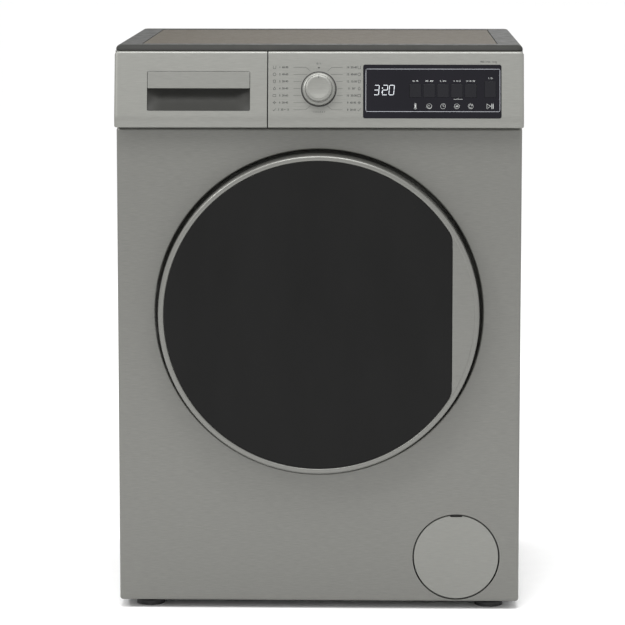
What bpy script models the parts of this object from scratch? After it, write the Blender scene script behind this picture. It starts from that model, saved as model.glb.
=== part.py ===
"""Front-loading washing machine, modelled as separate pieces in its own frame.

The origin is the centre of the footprint on the floor, +Z is up and the door faces -Y.
Every size is in metres.
"""
import math

import bmesh
import bpy
from mathutils import Matrix, Vector

# ---------------------------------------------------------------- driving dimensions

CABINET_HALF = 0.2985      # half the width of the steel cabinet
FASCIA_HALF = 0.2998       # half the width of the control panel moulding
HEIGHT = 0.845
BASE_Z = 0.013             # underside of the cabinet, on its feet
FRONT_Y = -0.2415          # outer face of the front panel
SEAM_Y = -0.2215           # where the front panel's flanges end
REAR_Y = 0.2685            # outer face of the rear wall
FACE_Y = -0.2785           # front of the door and of the knob
SPIGOT_Y = 0.2785          # end of the water inlet thread

SHEET = 0.0012             # steel sheet
SKIN = 0.0025              # moulded plastic wall
GAP = 0.0005               # between pieces that rest on each other

PANEL_TOP = 0.7235
FASCIA_BOTTOM = 0.7245
FASCIA_TOP = 0.8360
CREASE_Z = 0.7385          # the fascia's most forward line
CREASE_Y = FRONT_Y - 0.025
FASCIA_TOP_Y = FRONT_Y - 0.004
FASCIA_LEFT = -0.0741      # left edge of the fixed part, beside the drawer
DRAWER_RIGHT = -0.0759     # right edge of the drawer front
DRAWER_SEAM_Y = -0.2350     # back of the drawer front, where the tray is clipped on
TILT = math.atan((FASCIA_TOP_Y - CREASE_Y) / (FASCIA_TOP - CREASE_Z))

AXIS_Z = 0.449             # height of the door, tub and drum axis
DISH_R = 0.2425            # mouth of the pressed well round the door
RING_R = 0.2365            # outside of the door ring
WINDOW_R = 0.2280
WINDOW_FLAT = 0.1960       # straight right-hand edge of the window
WINDOW_FILLET = 0.028
FLOOR_Y = FRONT_Y + 0.0205  # front of the well's floor
LIP_R = 0.1753             # inside of the lip that carries the gasket

HINGE_X, HINGE_Y = -0.2275, -0.2640
HINGE_REACH = 0.0345       # half height of the hinge lugs
KNUCKLE_R = 0.0052
PIN_R = 0.0030

TUB_R = 0.262
DRUM_R = 0.240
NECK_R = 0.1715
SHAFT_R = 0.0150
DRUM_PULLEY_R = 0.140
MOTOR_PULLEY_R = 0.0115
MOTOR_Z = 0.108
BELT_Y = (0.2010, 0.2150)

FILTER_X, FILTER_Z = 0.2048, 0.0806
FILTER_OPENING_R = 0.065
FILTER_COVER_R = 0.0633

FOOT_X, FOOT_FRONT_Y, FOOT_REAR_Y = 0.255, -0.200, 0.225
DAMPER_X, DAMPER_Y = 0.150, 0.040
SPRING_X, SPRING_Y = 0.235, 0.115

KNOB_V = 0.0435            # knob centre, measured up the fascia's face
WINDOW_BOX = (0.0651, 0.2665, 0.0010, 0.0795)   # left, right, low, high on the face
KEY_FIRST_X, KEY_PITCH, KEY_WIDTH = 0.1411, 0.0202, 0.0170
KEY_LOW, KEY_HIGH = 0.0316, 0.0512
START_X, START_WIDTH, START_HIGH = 0.2503, 0.0165, 0.0552
POCKET = (-0.2517, -0.1006, 0.7495, 0.8067)     # handle recess: left, right, low, high
PLATE_V = (0.0446, 0.0693)                      # handle plate, up the fascia's face
TRAY_X = (-0.2550, -0.1050)
TRAY_Z = (0.7375, 0.8150)

BIG = 48                   # steps round the door ring
WIDE = 40                  # steps round the front panel's well
ROUND = 32                 # steps round the tub, the drum and the gasket
SMALL = 16                 # steps round shafts and other small pieces

PLAN = Matrix.Identity(4)                       # outline in XY, thickness along Z
FRONTAL = Matrix.Rotation(math.pi / 2, 4, "X")  # outline in XZ, thickness towards -Y
SIDEWAYS = Matrix(((0, 0, 1, 0), (1, 0, 0, 0), (0, 1, 0, 0), (0, 0, 0, 1)))  # YZ, along X
FACE = (Matrix.Translation((0, CREASE_Y, CREASE_Z))
        @ Matrix.Rotation(math.pi / 2 - TILT, 4, "X"))  # on the fascia's leaning face

MATERIALS = {
    "silver_paint": ((0.26, 0.26, 0.24), 0.38, 0.55),
    "silver_plastic": ((0.36, 0.36, 0.34), 0.40, 0.30),
    "dark_plastic": ((0.09, 0.09, 0.088), 0.50, 0.0),
    "worktop_laminate": ((0.22, 0.20, 0.17), 0.55, 0.0),
    "black_gloss": ((0.02, 0.02, 0.022), 0.20, 0.0),
    "tinted_window": ((0.021, 0.021, 0.021), 0.30, 0.0),
    "clear_glass": ((0.75, 0.80, 0.80), 0.05, 0.0),
    "grey_rubber": ((0.20, 0.20, 0.20), 0.70, 0.0),
    "black_rubber": ((0.03, 0.03, 0.03), 0.75, 0.0),
    "stainless": ((0.62, 0.61, 0.59), 0.28, 1.0),
    "galvanised": ((0.50, 0.51, 0.52), 0.45, 0.9),
    "tub_plastic": ((0.55, 0.56, 0.56), 0.60, 0.0),
    "white_plastic": ((0.80, 0.80, 0.78), 0.45, 0.0),
    "cast_aluminium": ((0.55, 0.55, 0.56), 0.50, 0.9),
    "concrete": ((0.42, 0.41, 0.39), 0.90, 0.0),
    "motor_black": ((0.05, 0.05, 0.055), 0.45, 0.6),
    "circuit_board": ((0.03, 0.16, 0.08), 0.50, 0.0),
}

# ---------------------------------------------------------------- scene and materials


def clear_scene():
    for obj in list(bpy.data.objects):
        bpy.data.objects.remove(obj, do_unlink=True)


def make_collection(name):
    collection = bpy.data.collections.new(name)
    bpy.context.scene.collection.children.link(collection)
    return collection


def make_material(node, slot):
    """A Principled material of the node's own, in the finish that the slot names."""
    color, roughness, metallic = MATERIALS[slot]
    material = bpy.data.materials.new(f"{node}_{slot}")
    material.use_nodes = True
    shader = material.node_tree.nodes["Principled BSDF"]
    shader.inputs["Base Color"].default_value = (*color, 1.0)
    shader.inputs["Roughness"].default_value = roughness
    shader.inputs["Metallic"].default_value = metallic
    return material


clear_scene()
PARTS = make_collection("washing_machine")
CUTTERS = make_collection("cutters")


def add_object(name, mesh, frame, slot):
    """Link a mesh as a piece with a material, or as a hidden tool when slot is None."""
    obj = bpy.data.objects.new(name, mesh)
    obj.matrix_world = frame
    if slot is None:
        obj.hide_render = True
        obj.display_type = "WIRE"
        CUTTERS.objects.link(obj)
        return obj
    mesh.materials.clear()
    mesh.materials.append(make_material(name, slot))
    PARTS.objects.link(obj)
    return obj


# ---------------------------------------------------------------- modelling helpers


def mesh_from(bm, name):
    mesh = bpy.data.meshes.new(name)
    bm.to_mesh(mesh)
    bm.free()
    return mesh


def block(name, low, high, slot=None, frame=PLAN, bevel=0.0):
    """A box between two corners of the frame's own axes."""
    low, high = Vector(low), Vector(high)
    bm = bmesh.new()
    shape = Matrix.Translation((low + high) / 2) @ Matrix.Diagonal((*(high - low), 1.0))
    bmesh.ops.create_cube(bm, size=1.0, matrix=shape)
    obj = add_object(name, mesh_from(bm, name), frame, slot)
    if bevel:
        soften(obj, bevel)
    return obj


def soften(obj, width, segments=2):
    bevel = obj.modifiers.new("Rounded edges", "BEVEL")
    bevel.width = width
    bevel.segments = segments
    bevel.limit_method = "ANGLE"
    return bevel


def pan(name, low, high, open_side, thickness, slot=None, radius=0.0):
    """A box-shaped shell that is open towards one of +Y, -Y, +Z and -Z."""
    low, high = Vector(low), Vector(high)
    bm = bmesh.new()
    shape = Matrix.Translation((low + high) / 2) @ Matrix.Diagonal((*(high - low), 1.0))
    bmesh.ops.create_cube(bm, size=1.0, matrix=shape)
    direction = {"+Y": Vector((0, 1, 0)), "-Y": Vector((0, -1, 0)),
                 "+Z": Vector((0, 0, 1)), "-Z": Vector((0, 0, -1))}[open_side]
    bm.normal_update()
    lid = [face for face in bm.faces if face.normal.dot(direction) > 0.9]
    bmesh.ops.delete(bm, geom=lid, context="FACES_ONLY")
    obj = add_object(name, mesh_from(bm, name), PLAN, slot)
    if radius:
        soften(obj, radius)
    thicken(obj, thickness)
    return obj


def thicken(obj, thickness):
    solidify = obj.modifiers.new("Wall", "SOLIDIFY")
    solidify.thickness = thickness
    solidify.offset = -1
    solidify.use_even_offset = True


def bent_sheet(name, path, low, high, thickness, slot):
    """A sheet that follows a plan path, its outer face on the path's right-hand side."""
    bm = bmesh.new()
    feet = [bm.verts.new((x, y, low)) for x, y in path]
    heads = [bm.verts.new((x, y, high)) for x, y in path]
    for i in range(len(path) - 1):
        bm.faces.new((feet[i], feet[i + 1], heads[i + 1], heads[i]))
    obj = add_object(name, mesh_from(bm, name), PLAN, slot)
    thicken(obj, thickness)
    return obj


def mesh_of_curve(curve, name):
    """The curve's evaluated mesh, with its caps welded on."""
    guide = bpy.data.objects.new(name, curve)
    CUTTERS.objects.link(guide)
    bpy.context.view_layer.update()
    depsgraph = bpy.context.evaluated_depsgraph_get()
    mesh = bpy.data.meshes.new_from_object(guide.evaluated_get(depsgraph))
    bpy.data.objects.remove(guide)
    bpy.data.curves.remove(curve)
    bm = bmesh.new()
    bm.from_mesh(mesh)
    bmesh.ops.remove_doubles(bm, verts=bm.verts, dist=1e-5)
    bmesh.ops.recalc_face_normals(bm, faces=bm.faces)
    bm.to_mesh(mesh)
    bm.free()
    return mesh


def slab(name, outline, low, high, slot=None, frame=PLAN, holes=()):
    """A flat outline, with holes, between two heights of its frame."""
    curve = bpy.data.curves.new(name, "CURVE")
    curve.dimensions = "2D"
    curve.fill_mode = "BOTH"
    curve.extrude = (high - low) / 2
    for loop in (outline, *holes):
        spline = curve.splines.new("POLY")
        spline.points.add(len(loop) - 1)
        for point, (x, y) in zip(spline.points, loop):
            point.co = (x, y, 0, 1)
        spline.use_cyclic_u = True
    mesh = mesh_of_curve(curve, name)
    lift = Matrix.Translation((0, 0, (low + high) / 2))
    mesh.transform(lift)
    return add_object(name, mesh, frame, slot)


def tube(name, points, radius, slot, resolution=2):
    """A round wire or hose through the points, with filled ends."""
    curve = bpy.data.curves.new(name, "CURVE")
    curve.dimensions = "3D"
    curve.bevel_depth = radius
    curve.bevel_resolution = resolution
    curve.use_fill_caps = True
    spline = curve.splines.new("POLY")
    spline.points.add(len(points) - 1)
    for point, place in zip(spline.points, points):
        point.co = (*place, 1)
    return add_object(name, mesh_of_curve(curve, name), PLAN, slot)


def turned(name, profile, steps, slot=None, frame=PLAN):
    """A turned piece: (radius, height) points round the frame's Z axis.

    A profile that starts and ends on the axis is solid there, any other one closes on itself.
    """
    area = sum(profile[i - 1][0] * profile[i][1] - profile[i][0] * profile[i - 1][1]
               for i in range(len(profile)))
    points = list(profile) if area < 0 else list(reversed(profile))
    on_axis = points[0][0] == 0 and points[-1][0] == 0
    bm = bmesh.new()
    verts = [bm.verts.new((radius, 0, height)) for radius, height in points]
    for first, second in zip(verts, verts[1:]):
        bm.edges.new((first, second))
    if not on_axis:
        bm.edges.new((verts[-1], verts[0]))
    obj = add_object(name, mesh_from(bm, name), frame, slot)
    screw = obj.modifiers.new("Turn", "SCREW")
    screw.steps = steps
    screw.render_steps = steps
    screw.use_merge_vertices = True
    screw.merge_threshold = 1e-5
    return obj


def turned_y(name, profile, steps, slot=None, x=0.0, z=AXIS_Z):
    """A turned piece round an axis along Y, its profile given as (radius, Y)."""
    frame = Matrix.Translation((x, 0, z)) @ FRONTAL
    return turned(name, [(radius, -y) for radius, y in profile], steps, slot, frame)


def rod_y(name, radius, low_y, high_y, x, z, steps=SMALL, slot=None):
    profile = [(0, low_y), (radius, low_y), (radius, high_y), (0, high_y)]
    return turned_y(name, profile, steps, slot, x, z)


def cut(obj, *tools):
    for tool in tools:
        modifier = obj.modifiers.new("Cut", "BOOLEAN")
        modifier.operation = "DIFFERENCE"
        modifier.object = tool
    return obj


def join(obj, *tools):
    for tool in tools:
        modifier = obj.modifiers.new("Join", "BOOLEAN")
        modifier.operation = "UNION"
        modifier.object = tool
    return obj


def arc(center, radius, start, end, count):
    """Points along an arc, its angles in degrees."""
    angles = [math.radians(start + (end - start) * i / count) for i in range(count + 1)]
    return [(center[0] + radius * math.cos(a), center[1] + radius * math.sin(a))
            for a in angles]


def rounded_rect(left, right, low, high, radius, count=3):
    points = []
    for x, y, start in ((right - radius, high - radius, 0), (left + radius, high - radius, 90),
                        (left + radius, low + radius, 180), (right - radius, low + radius, 270)):
        points += arc((x, y), radius, start, start + 90, count)
    return points


# ---------------------------------------------------------------- cabinet


def build_front_panel():
    panel = pan("front_panel", (-CABINET_HALF, FRONT_Y, BASE_Z), (CABINET_HALF, SEAM_Y, PANEL_TOP),
                "+Y", SHEET, "silver_paint", radius=0.004)
    mouth = rod_y("mouth_cutter", DISH_R, FRONT_Y - 0.01, FRONT_Y + 0.01, 0, AXIS_Z, WIDE)
    filter_hole = rod_y("filter_hole_cutter", FILTER_OPENING_R, FRONT_Y - 0.01, FRONT_Y + 0.01,
                        FILTER_X, FILTER_Z, ROUND)
    hook_slot = block("hook_slot_cutter", (0.1930, FLOOR_Y - 0.004, AXIS_Z - 0.0065),
                      (0.2150, FLOOR_Y + 0.004, AXIS_Z + 0.0065))
    back = FLOOR_Y + SHEET
    well = turned_y("well_tool", [
        (DISH_R + 0.0025, FRONT_Y + 0.0002), (DISH_R, FRONT_Y + 0.0002), (0.2385, FLOOR_Y),
        (LIP_R + SHEET, FLOOR_Y), (LIP_R + SHEET, FLOOR_Y - 0.0055), (LIP_R, FLOOR_Y - 0.0055),
        (LIP_R, back), (0.2395, back), (DISH_R + 0.0012, FRONT_Y + 0.0010),
        (DISH_R + 0.0025, FRONT_Y + 0.0010)], WIDE)
    cut(panel, mouth, filter_hole)
    join(panel, well)
    cut(panel, hook_slot)


def build_cabinet_wrap():
    corner = 0.008
    front = SEAM_Y + GAP
    right = [(CABINET_HALF, front)] + arc((CABINET_HALF - corner, REAR_Y - corner), corner,
                                          0, 90, 3)
    left = [(-x, y) for x, y in reversed(right)]
    wrap = bent_sheet("cabinet_wrap", right + left, BASE_Z, FASCIA_TOP, SHEET, "silver_paint")
    service = slab("service_cutter", rounded_rect(-0.150, 0.150, 0.260, 0.580, 0.006), -0.285,
                   -0.250, frame=FRONTAL)
    inlet = rod_y("inlet_hole_cutter", 0.0150, 0.25, 0.29, 0.200, 0.775, 16)
    cord = rod_y("cord_hole_cutter", 0.0105, 0.25, 0.29, 0.245, 0.690, 16)
    cut(wrap, service, inlet, cord)
    for side in (-1, 1):
        inner, outer = sorted((side * (SPRING_X - 0.013), side * (CABINET_HALF - 0.0006)))
        hanger = block("hanger_tool", (inner, SPRING_Y - 0.02, 0.8060),
                       (outer, SPRING_Y + 0.02, 0.8090))
        join(wrap, hanger)


def build_rear_cover():
    flange = slab("rear_cover", rounded_rect(-0.175, 0.175, 0.235, 0.605, 0.035), -0.2702,
                  -0.2690, "silver_paint", FRONTAL,
                  holes=[rounded_rect(-0.1544, 0.1544, 0.2556, 0.5844, 0.004)])
    dome = pan("rear_dome_tool", (-0.1550, 0.2694, 0.2550), (0.1550, 0.2745, 0.5850), "-Y",
               SHEET, radius=0.003)
    join(flange, dome)


def build_base_tray():
    tray = pan("base_tray", (-0.2945, -0.2335, 0.0148), (0.2945, 0.2645, 0.0400), "+Z",
               0.0020, "dark_plastic")
    for x in (-FOOT_X, FOOT_X):
        for y in (FOOT_FRONT_Y, FOOT_REAR_Y):
            hole = turned("foot_hole_cutter", [(0, 0.010), (0.0062, 0.010), (0.0062, 0.022),
                                               (0, 0.022)], 12,
                          frame=Matrix.Translation((x, y, 0)))
            cut(tray, hole)


def build_feet():
    bolt, pad = 0.0050, 0.0210
    profile = [(0, 0), (pad, 0), (pad, 0.0075), (0.010, 0.0100), (0.010, 0.0125),
               (bolt, 0.0125), (bolt, 0.045), (0, 0.045)]
    for side, x in (("left", -FOOT_X), ("right", FOOT_X)):
        for end, y in (("front", FOOT_FRONT_Y), ("rear", FOOT_REAR_Y)):
            turned(f"foot_{end}_{side}", profile, 12, "black_rubber",
                   Matrix.Translation((x, y, 0)))


def build_worktop():
    edge, seat, shelf = 0.8366, 0.8286, 0.8260
    board_x, board_front, board_rear = 0.2625, -0.2075, 0.2325
    frame = slab("worktop_frame", rounded_rect(-CABINET_HALF, CABINET_HALF, -0.2440, REAR_Y,
                                               0.006), edge, HEIGHT, "dark_plastic")
    soften(frame, 0.0015, 1)
    body = block("worktop_body_tool", (-0.2940, -0.2150, shelf), (0.2940, 0.2640, edge + 0.003))
    recess = block("board_seat_cutter", (-board_x, board_front, seat),
                   (board_x, board_rear, HEIGHT + 0.01))
    window = block("board_window_cutter", (-0.2560, -0.2010, 0.82), (0.2560, 0.2260, 0.83))
    join(frame, body)
    cut(frame, recess, window)
    block("worktop_board", (-board_x + GAP, board_front + GAP, seat + GAP),
          (board_x - GAP, board_rear - GAP, HEIGHT - 0.0006), "worktop_laminate", bevel=0.0008)


# ---------------------------------------------------------------- control panel


def fascia_outline(rear, inset=0.0):
    """The fascia's section in YZ: it leans back above the crease and drops below it."""
    top, low = FASCIA_TOP - inset, FASCIA_BOTTOM + inset
    return [(rear, top), (FASCIA_TOP_Y + 0.0020 + inset, top),
            (FASCIA_TOP_Y - 0.0006 + inset, top - 0.0026), (CREASE_Y + inset, CREASE_Z),
            (CREASE_Y + 0.0003 + inset, CREASE_Z - 0.0045),
            (CREASE_Y + 0.0011 + inset, low + 0.0030), (CREASE_Y + 0.0045 + inset, low),
            (rear, low)]


def key_boxes():
    """Each key's name and its rectangle on the face: left, right, low, high."""
    keys = [(f"option_key_{i + 1}", KEY_FIRST_X + i * KEY_PITCH, KEY_WIDTH, KEY_HIGH)
            for i in range(5)]
    keys.append(("start_key", START_X, START_WIDTH, START_HIGH))
    return [(name, x - width / 2, x + width / 2, KEY_LOW, high)
            for name, x, width, high in keys]


def build_control_fascia():
    wall = FASCIA_LEFT + SKIN
    bulkhead_front, bulkhead_rear = -0.2340, -0.2310
    fascia = slab("control_fascia", fascia_outline(SEAM_Y), -FASCIA_HALF, FASCIA_HALF,
                  "silver_plastic", SIDEWAYS)
    chamber = slab("chamber_cutter", fascia_outline(SEAM_Y + 0.01, SKIN), wall,
                   FASCIA_HALF - SKIN, frame=SIDEWAYS)
    drawer_space = block("drawer_space_cutter", (-0.31, -0.30, 0.70),
                         (FASCIA_LEFT, bulkhead_front, 0.85))
    rear_space = block("rear_space_cutter", (-FASCIA_HALF + SKIN, bulkhead_rear, 0.7270),
                       (FASCIA_LEFT - 0.002, SEAM_Y + 0.01, 0.8335))
    tray_hole = block("tray_hole_cutter", (-0.2585, -0.24, 0.7350), (-0.1015, -0.22, 0.8190))
    left, right, low, high = WINDOW_BOX
    fit = 0.0004
    window_hole = slab("window_hole_cutter",
                       rounded_rect(left - fit, right + fit, low - fit, high + fit, 0.003),
                       -0.012, 0.010, frame=FACE)
    shaft_hole = turned("shaft_hole_cutter", [(0, -0.02), (0.0045, -0.02), (0.0045, 0.01),
                                              (0, 0.01)], 16,
                        frame=FACE @ Matrix.Translation((0, KNOB_V, 0)))
    cut(fascia, chamber, drawer_space, rear_space, tray_hole, window_hole, shaft_hole)


def build_display():
    left, right, low, high = WINDOW_BOX
    slack = 0.0004
    holes = [rounded_rect(x0 - slack, x1 + slack, v0 - slack, v1 + slack, 0.0008, 1)
             for _, x0, x1, v0, v1 in key_boxes()]
    slab("display_window", rounded_rect(left, right, low, high, 0.0026), -0.0022, 0.0003,
         "black_gloss", FACE, holes)
    for name, x0, x1, v0, v1 in key_boxes():
        block(name, (x0, v0, -0.0075), (x1, v1, 0.0006), "black_gloss", FACE)
    board = block("control_board", (0.018, 0.008, -0.0190), (0.268, 0.078, -0.0174),
                  "circuit_board", FACE)
    relay = block("relay_tool", (0.090, 0.015, -0.0270), (0.130, 0.045, -0.0185), frame=FACE)
    join(board, relay)


def build_knob():
    skirt, cap, height = 0.0243, 0.0205, 0.0165
    turned("program_knob", [
        (0, -0.012), (0.0032, -0.012), (0.0032, 0.0010), (skirt - 0.0006, 0.0010),
        (skirt, 0.0020), (skirt - 0.0004, 0.0045), (cap + 0.0012, 0.0062),
        (cap, height - 0.0022), (cap - 0.0020, height - 0.0004), (0, height)], 24,
        "silver_plastic", FACE @ Matrix.Translation((0, KNOB_V, 0)))


# ---------------------------------------------------------------- detergent drawer


def build_drawer():
    left, right, low, high = POCKET
    front = slab("drawer_front", fascia_outline(DRAWER_SEAM_Y), -FASCIA_HALF, DRAWER_RIGHT,
                 "silver_plastic", SIDEWAYS)
    hollow = slab("hollow_cutter", fascia_outline(DRAWER_SEAM_Y + 0.01, SKIN), -FASCIA_HALF + SKIN,
                  DRAWER_RIGHT - SKIN, frame=SIDEWAYS)
    keep = block("pocket_wall_cutter", (left - SKIN, -0.30, low - SKIN),
                 (right + SKIN, -0.2376, high + SKIN))
    pocket = block("pocket_cutter", (left, -0.30, low), (right, -0.2400, high))
    cut(hollow, keep)
    cut(front, hollow, pocket)
    plate_low, plate_high = PLATE_V
    block("drawer_handle_plate", (left + GAP, plate_low, -0.0032),
          (right - GAP, plate_high, -0.0002), "silver_plastic", FACE)


def build_drawer_tray():
    wall = 0.0020
    low_y, high_y = DRAWER_SEAM_Y + GAP, 0.0700
    tray = block("drawer_tray", (TRAY_X[0], low_y, TRAY_Z[0]), (TRAY_X[1], high_y, TRAY_Z[1]),
                 "white_plastic")
    splits = (TRAY_X[0] + wall, -0.1980, -0.1500, TRAY_X[1] - wall)
    floor, rim = TRAY_Z[0] + wall, TRAY_Z[1] + 0.01
    for i, start in enumerate((low_y + wall, low_y + wall, -0.1400)):
        left = splits[i] + (wall / 2 if i else 0)
        right = splits[i + 1] - (wall / 2 if i < 2 else 0)
        cut(tray, block("compartment_cutter", (left, start, floor),
                        (right, high_y - wall, rim)))


def build_dispenser_housing():
    pan("dispenser_housing", (-0.2620, -0.2300, 0.7335), (-0.0980, 0.0800, 0.8250), "-Y",
        SKIN, "white_plastic")


# ---------------------------------------------------------------- door


def window_outline(grow=0.0):
    """A disc with a straight right-hand edge and filleted corners."""
    radius, flat, fillet = WINDOW_R + grow, WINDOW_FLAT + grow, WINDOW_FILLET + grow
    x = flat - fillet
    y = math.sqrt((radius - fillet) ** 2 - x ** 2)
    corner = math.degrees(math.atan2(y, x))
    rim = arc((0, 0), radius, corner, 360 - corner, 40)
    upper = arc((x, y), fillet, 0, corner, 3)[:-1]
    lower = arc((x, -y), fillet, -corner, 0, 3)[1:]
    return upper + rim + lower


def build_door_ring():
    wall = RING_R - 0.0027
    ring = turned_y("door_ring", [
        (RING_R, -0.2320), (RING_R, -0.2745), (RING_R - 0.0035, FACE_Y), (0.2290, FACE_Y),
        (0.2286, -0.2745),
        (0.2195, -0.2745), (0.2195, -0.2720), (wall, -0.2720), (wall, -0.2320)], BIG,
        "silver_plastic")
    at_axis = Matrix.Translation((0, 0, AXIS_Z)) @ FRONTAL
    grip = slab("grip_tool", arc((0, 0), 0.2300, 0, 352.5, 47), 0.2742, 0.2780, frame=at_axis)
    clear = slab("grip_cutter", window_outline(GAP), 0.27, 0.28, frame=at_axis)
    cut(grip, clear)
    join(ring, grip)
    cut(ring, hinge_notch("ring_notch_cutter"))
    slab("door_window", window_outline(), 0.2750, 0.2775, "tinted_window", at_axis)


def hinge_notch(name):
    """The space that the fixed hinge lugs need inside the door as it swings."""
    return block(name, (-0.2500, -0.2733, AXIS_Z - 0.050), (-0.1950, -0.2200, AXIS_Z + 0.050))


def build_door_inner_frame():
    plate_front, plate_rear, wall_front = -0.2320, -0.2290, -0.2715
    frame = turned_y("door_inner_frame", [
        (0.2330, plate_rear), (0.1580, plate_rear), (0.1580, plate_front),
        (0.2215, plate_front), (0.2215, wall_front), (0.2240, wall_front),
        (0.2240, plate_front), (0.2330, plate_front)], ROUND, "dark_plastic")
    slot = block("frame_slot_cutter", (0.1985, -0.24, AXIS_Z - 0.0055),
                 (0.2120, -0.22, AXIS_Z + 0.0055))
    cut(frame, hinge_notch("frame_notch_cutter"), slot)


def build_door_glass():
    turned_y("door_glass", [
        (0, -0.1560), (0.0880, -0.1600), (0.1262, -0.1752), (0.1440, -0.2015),
        (0.1500, -0.2366), (0.1700, -0.2366), (0.1700, -0.2326), (0.1545, -0.2326),
        (0.1480, -0.2000), (0.1300, -0.1720), (0.0900, -0.1560), (0, -0.1520)], 28,
        "clear_glass")


def build_hinge():
    plate_front, plate_rear = FLOOR_Y - 0.0033, FLOOR_Y - GAP
    bracket = block("hinge_bracket", (-0.2290, plate_front, AXIS_Z - 0.046),
                    (-0.1880, plate_rear, AXIS_Z + 0.046), "galvanised")
    lug = (arc((HINGE_X, HINGE_Y), KNUCKLE_R, 180, 360, 6)
           + [(-0.2050, plate_front + 0.0012), (-0.2280, plate_front + 0.0012)])
    for low, high in ((-HINGE_REACH, -0.0245), (0.0245, HINGE_REACH)):
        join(bracket, slab("lug_tool", lug, AXIS_Z + low, AXIS_Z + high))
    pin = turned("hinge_pin_tool", [(0, AXIS_Z - 0.0330), (PIN_R, AXIS_Z - 0.0330),
                                    (PIN_R, AXIS_Z + 0.0330), (0, AXIS_Z + 0.0330)], 12,
                 frame=Matrix.Translation((HINGE_X, HINGE_Y, 0)))
    join(bracket, pin)
    bore = arc((HINGE_X, HINGE_Y), PIN_R + 0.0004, 0, 330, 11)
    arm = (arc((HINGE_X, HINGE_Y), KNUCKLE_R, 45, 270, 8)
           + [(-0.1830, HINGE_Y - KNUCKLE_R), (-0.1830, -0.2362), (-0.1730, -0.2362),
              (-0.1730, -0.2325), (-0.1900, -0.2325), (-0.1900, HINGE_Y + 0.0010),
              (-0.2200, HINGE_Y + 0.0010)])
    slab("hinge_arm", arm, AXIS_Z - 0.0238, AXIS_Z + 0.0238, "galvanised", holes=[bore])


def build_latch():
    hook = [(0.2010, -0.2500), (0.2090, -0.2500), (0.2080, -0.2320), (0.2080, -0.2085),
            (0.2055, -0.2065), (0.1975, -0.2110), (0.1975, -0.2135), (0.2025, -0.2135),
            (0.2020, -0.2320)]
    slab("door_hook", hook, AXIS_Z - 0.0040, AXIS_Z + 0.0040, "galvanised")
    lock = block("door_lock", (0.1860, FLOOR_Y + SHEET + GAP, AXIS_Z - 0.036),
                 (0.2240, -0.1900, AXIS_Z + 0.036), "white_plastic")
    cut(lock, block("lock_mouth_cutter", (0.1900, -0.23, AXIS_Z - 0.0085),
                    (0.2180, -0.2000, AXIS_Z + 0.0085)))


# ---------------------------------------------------------------- washing group


def build_gasket():
    turned_y("door_gasket", [
        (0.1590, -0.2284), (0.1590, -0.2250), (0.1700, -0.2250), (0.1700, -0.2120),
        (0.1790, -0.2050), (0.1790, -0.1960), (0.1722, -0.1900), (0.1722, -0.1800),
        (0.1752, -0.1800), (0.1752, -0.1890), (0.1822, -0.1950), (0.1822, -0.2060),
        (0.1740, -0.2135), (0.1740, -0.2284)], ROUND, "grey_rubber")


def build_tub():
    wall, flange, seam = 0.0030, 0.2700, -0.0205
    inner = TUB_R - wall
    turned_y("tub_front", [
        (NECK_R, -0.1885), (NECK_R, -0.1710), (TUB_R, -0.1680), (TUB_R, seam - 0.0055),
        (flange, seam - 0.0055), (flange, seam - GAP), (inner, seam - GAP), (inner, -0.1650),
        (NECK_R - wall, -0.1680), (NECK_R - wall, -0.1885)], ROUND, "tub_plastic")
    rear, hub_end = 0.1500, 0.1900
    tub = turned_y("tub_rear", [
        (flange, seam), (flange, seam + 0.0050), (TUB_R, seam + 0.0050), (TUB_R, rear),
        (0.0460, rear), (0.0460, hub_end), (0.0330, hub_end), (0.0330, 0.1705),
        (0.0385, 0.1705), (0.0385, rear - wall), (inner, rear - wall), (inner, seam)], ROUND,
        "tub_plastic")
    for side in (-1, 1):
        left, right = sorted((side * 0.2200, side * 0.2480))
        ear = block("ear_tool", (left, SPRING_Y - 0.008, 0.5300),
                    (right, SPRING_Y + 0.008, 0.5850))
        join(tub, cut(ear, rod_y("ear_cutter", TUB_R - wall / 2, SPRING_Y - 0.03,
                                 SPRING_Y + 0.03, 0, AXIS_Z, ROUND)))


def build_counterweight():
    left, right, top, seat_r = -0.085, 0.160, 0.792, 0.2735
    start = math.degrees(math.acos(left / seat_r))
    end = math.degrees(math.acos(right / seat_r))
    outline = [(right, top), (left, top)] + [
        (x, AXIS_Z + y) for x, y in arc((0, 0), seat_r, start, end, 8)]
    slab("counterweight_upper", outline, -0.110, 0.090, "concrete", FRONTAL)


def build_drum():
    steel = 0.0012
    inner = DRUM_R - steel
    turned_y("drum", [
        (0, 0.1228), (inner, 0.1228), (inner, -0.1555), (0.2355, -0.1588),
        (0.1782, -0.1603), (0.1767, -0.1560), (0.1755, -0.1560), (0.1770, -0.1615),
        (0.2360, -0.1600), (DRUM_R, -0.1560), (DRUM_R, 0.1240), (0, 0.1240)], ROUND, "stainless")
    section = [(-0.030, -0.2350), (0.030, -0.2350), (0.011, -0.1960), (-0.011, -0.1960)]
    for i in range(3):
        turn = Matrix.Rotation(math.radians(120 * i), 4, "Z")
        frame = Matrix.Translation((0, 0, AXIS_Z)) @ FRONTAL @ turn
        lifter = slab(f"drum_lifter_{i + 1}", section, -0.095, 0.130, "tub_plastic", frame)
        soften(lifter, 0.004, 1)


def spider_outline():
    """A hub with three tapering arms, 120 degrees apart."""
    hub, reach, root_half, tip_half = 0.036, 0.222, 0.020, 0.011
    points = []
    for i in range(3):
        middle = math.radians(90 + 120 * i)
        across = Vector((-math.sin(middle), math.cos(middle)))
        along = Vector((math.cos(middle), math.sin(middle)))
        for distance, half in ((hub, -root_half), (reach, -tip_half), (reach, tip_half),
                               (hub, root_half)):
            points.append(tuple(along * distance + across * half))
    return points


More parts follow.
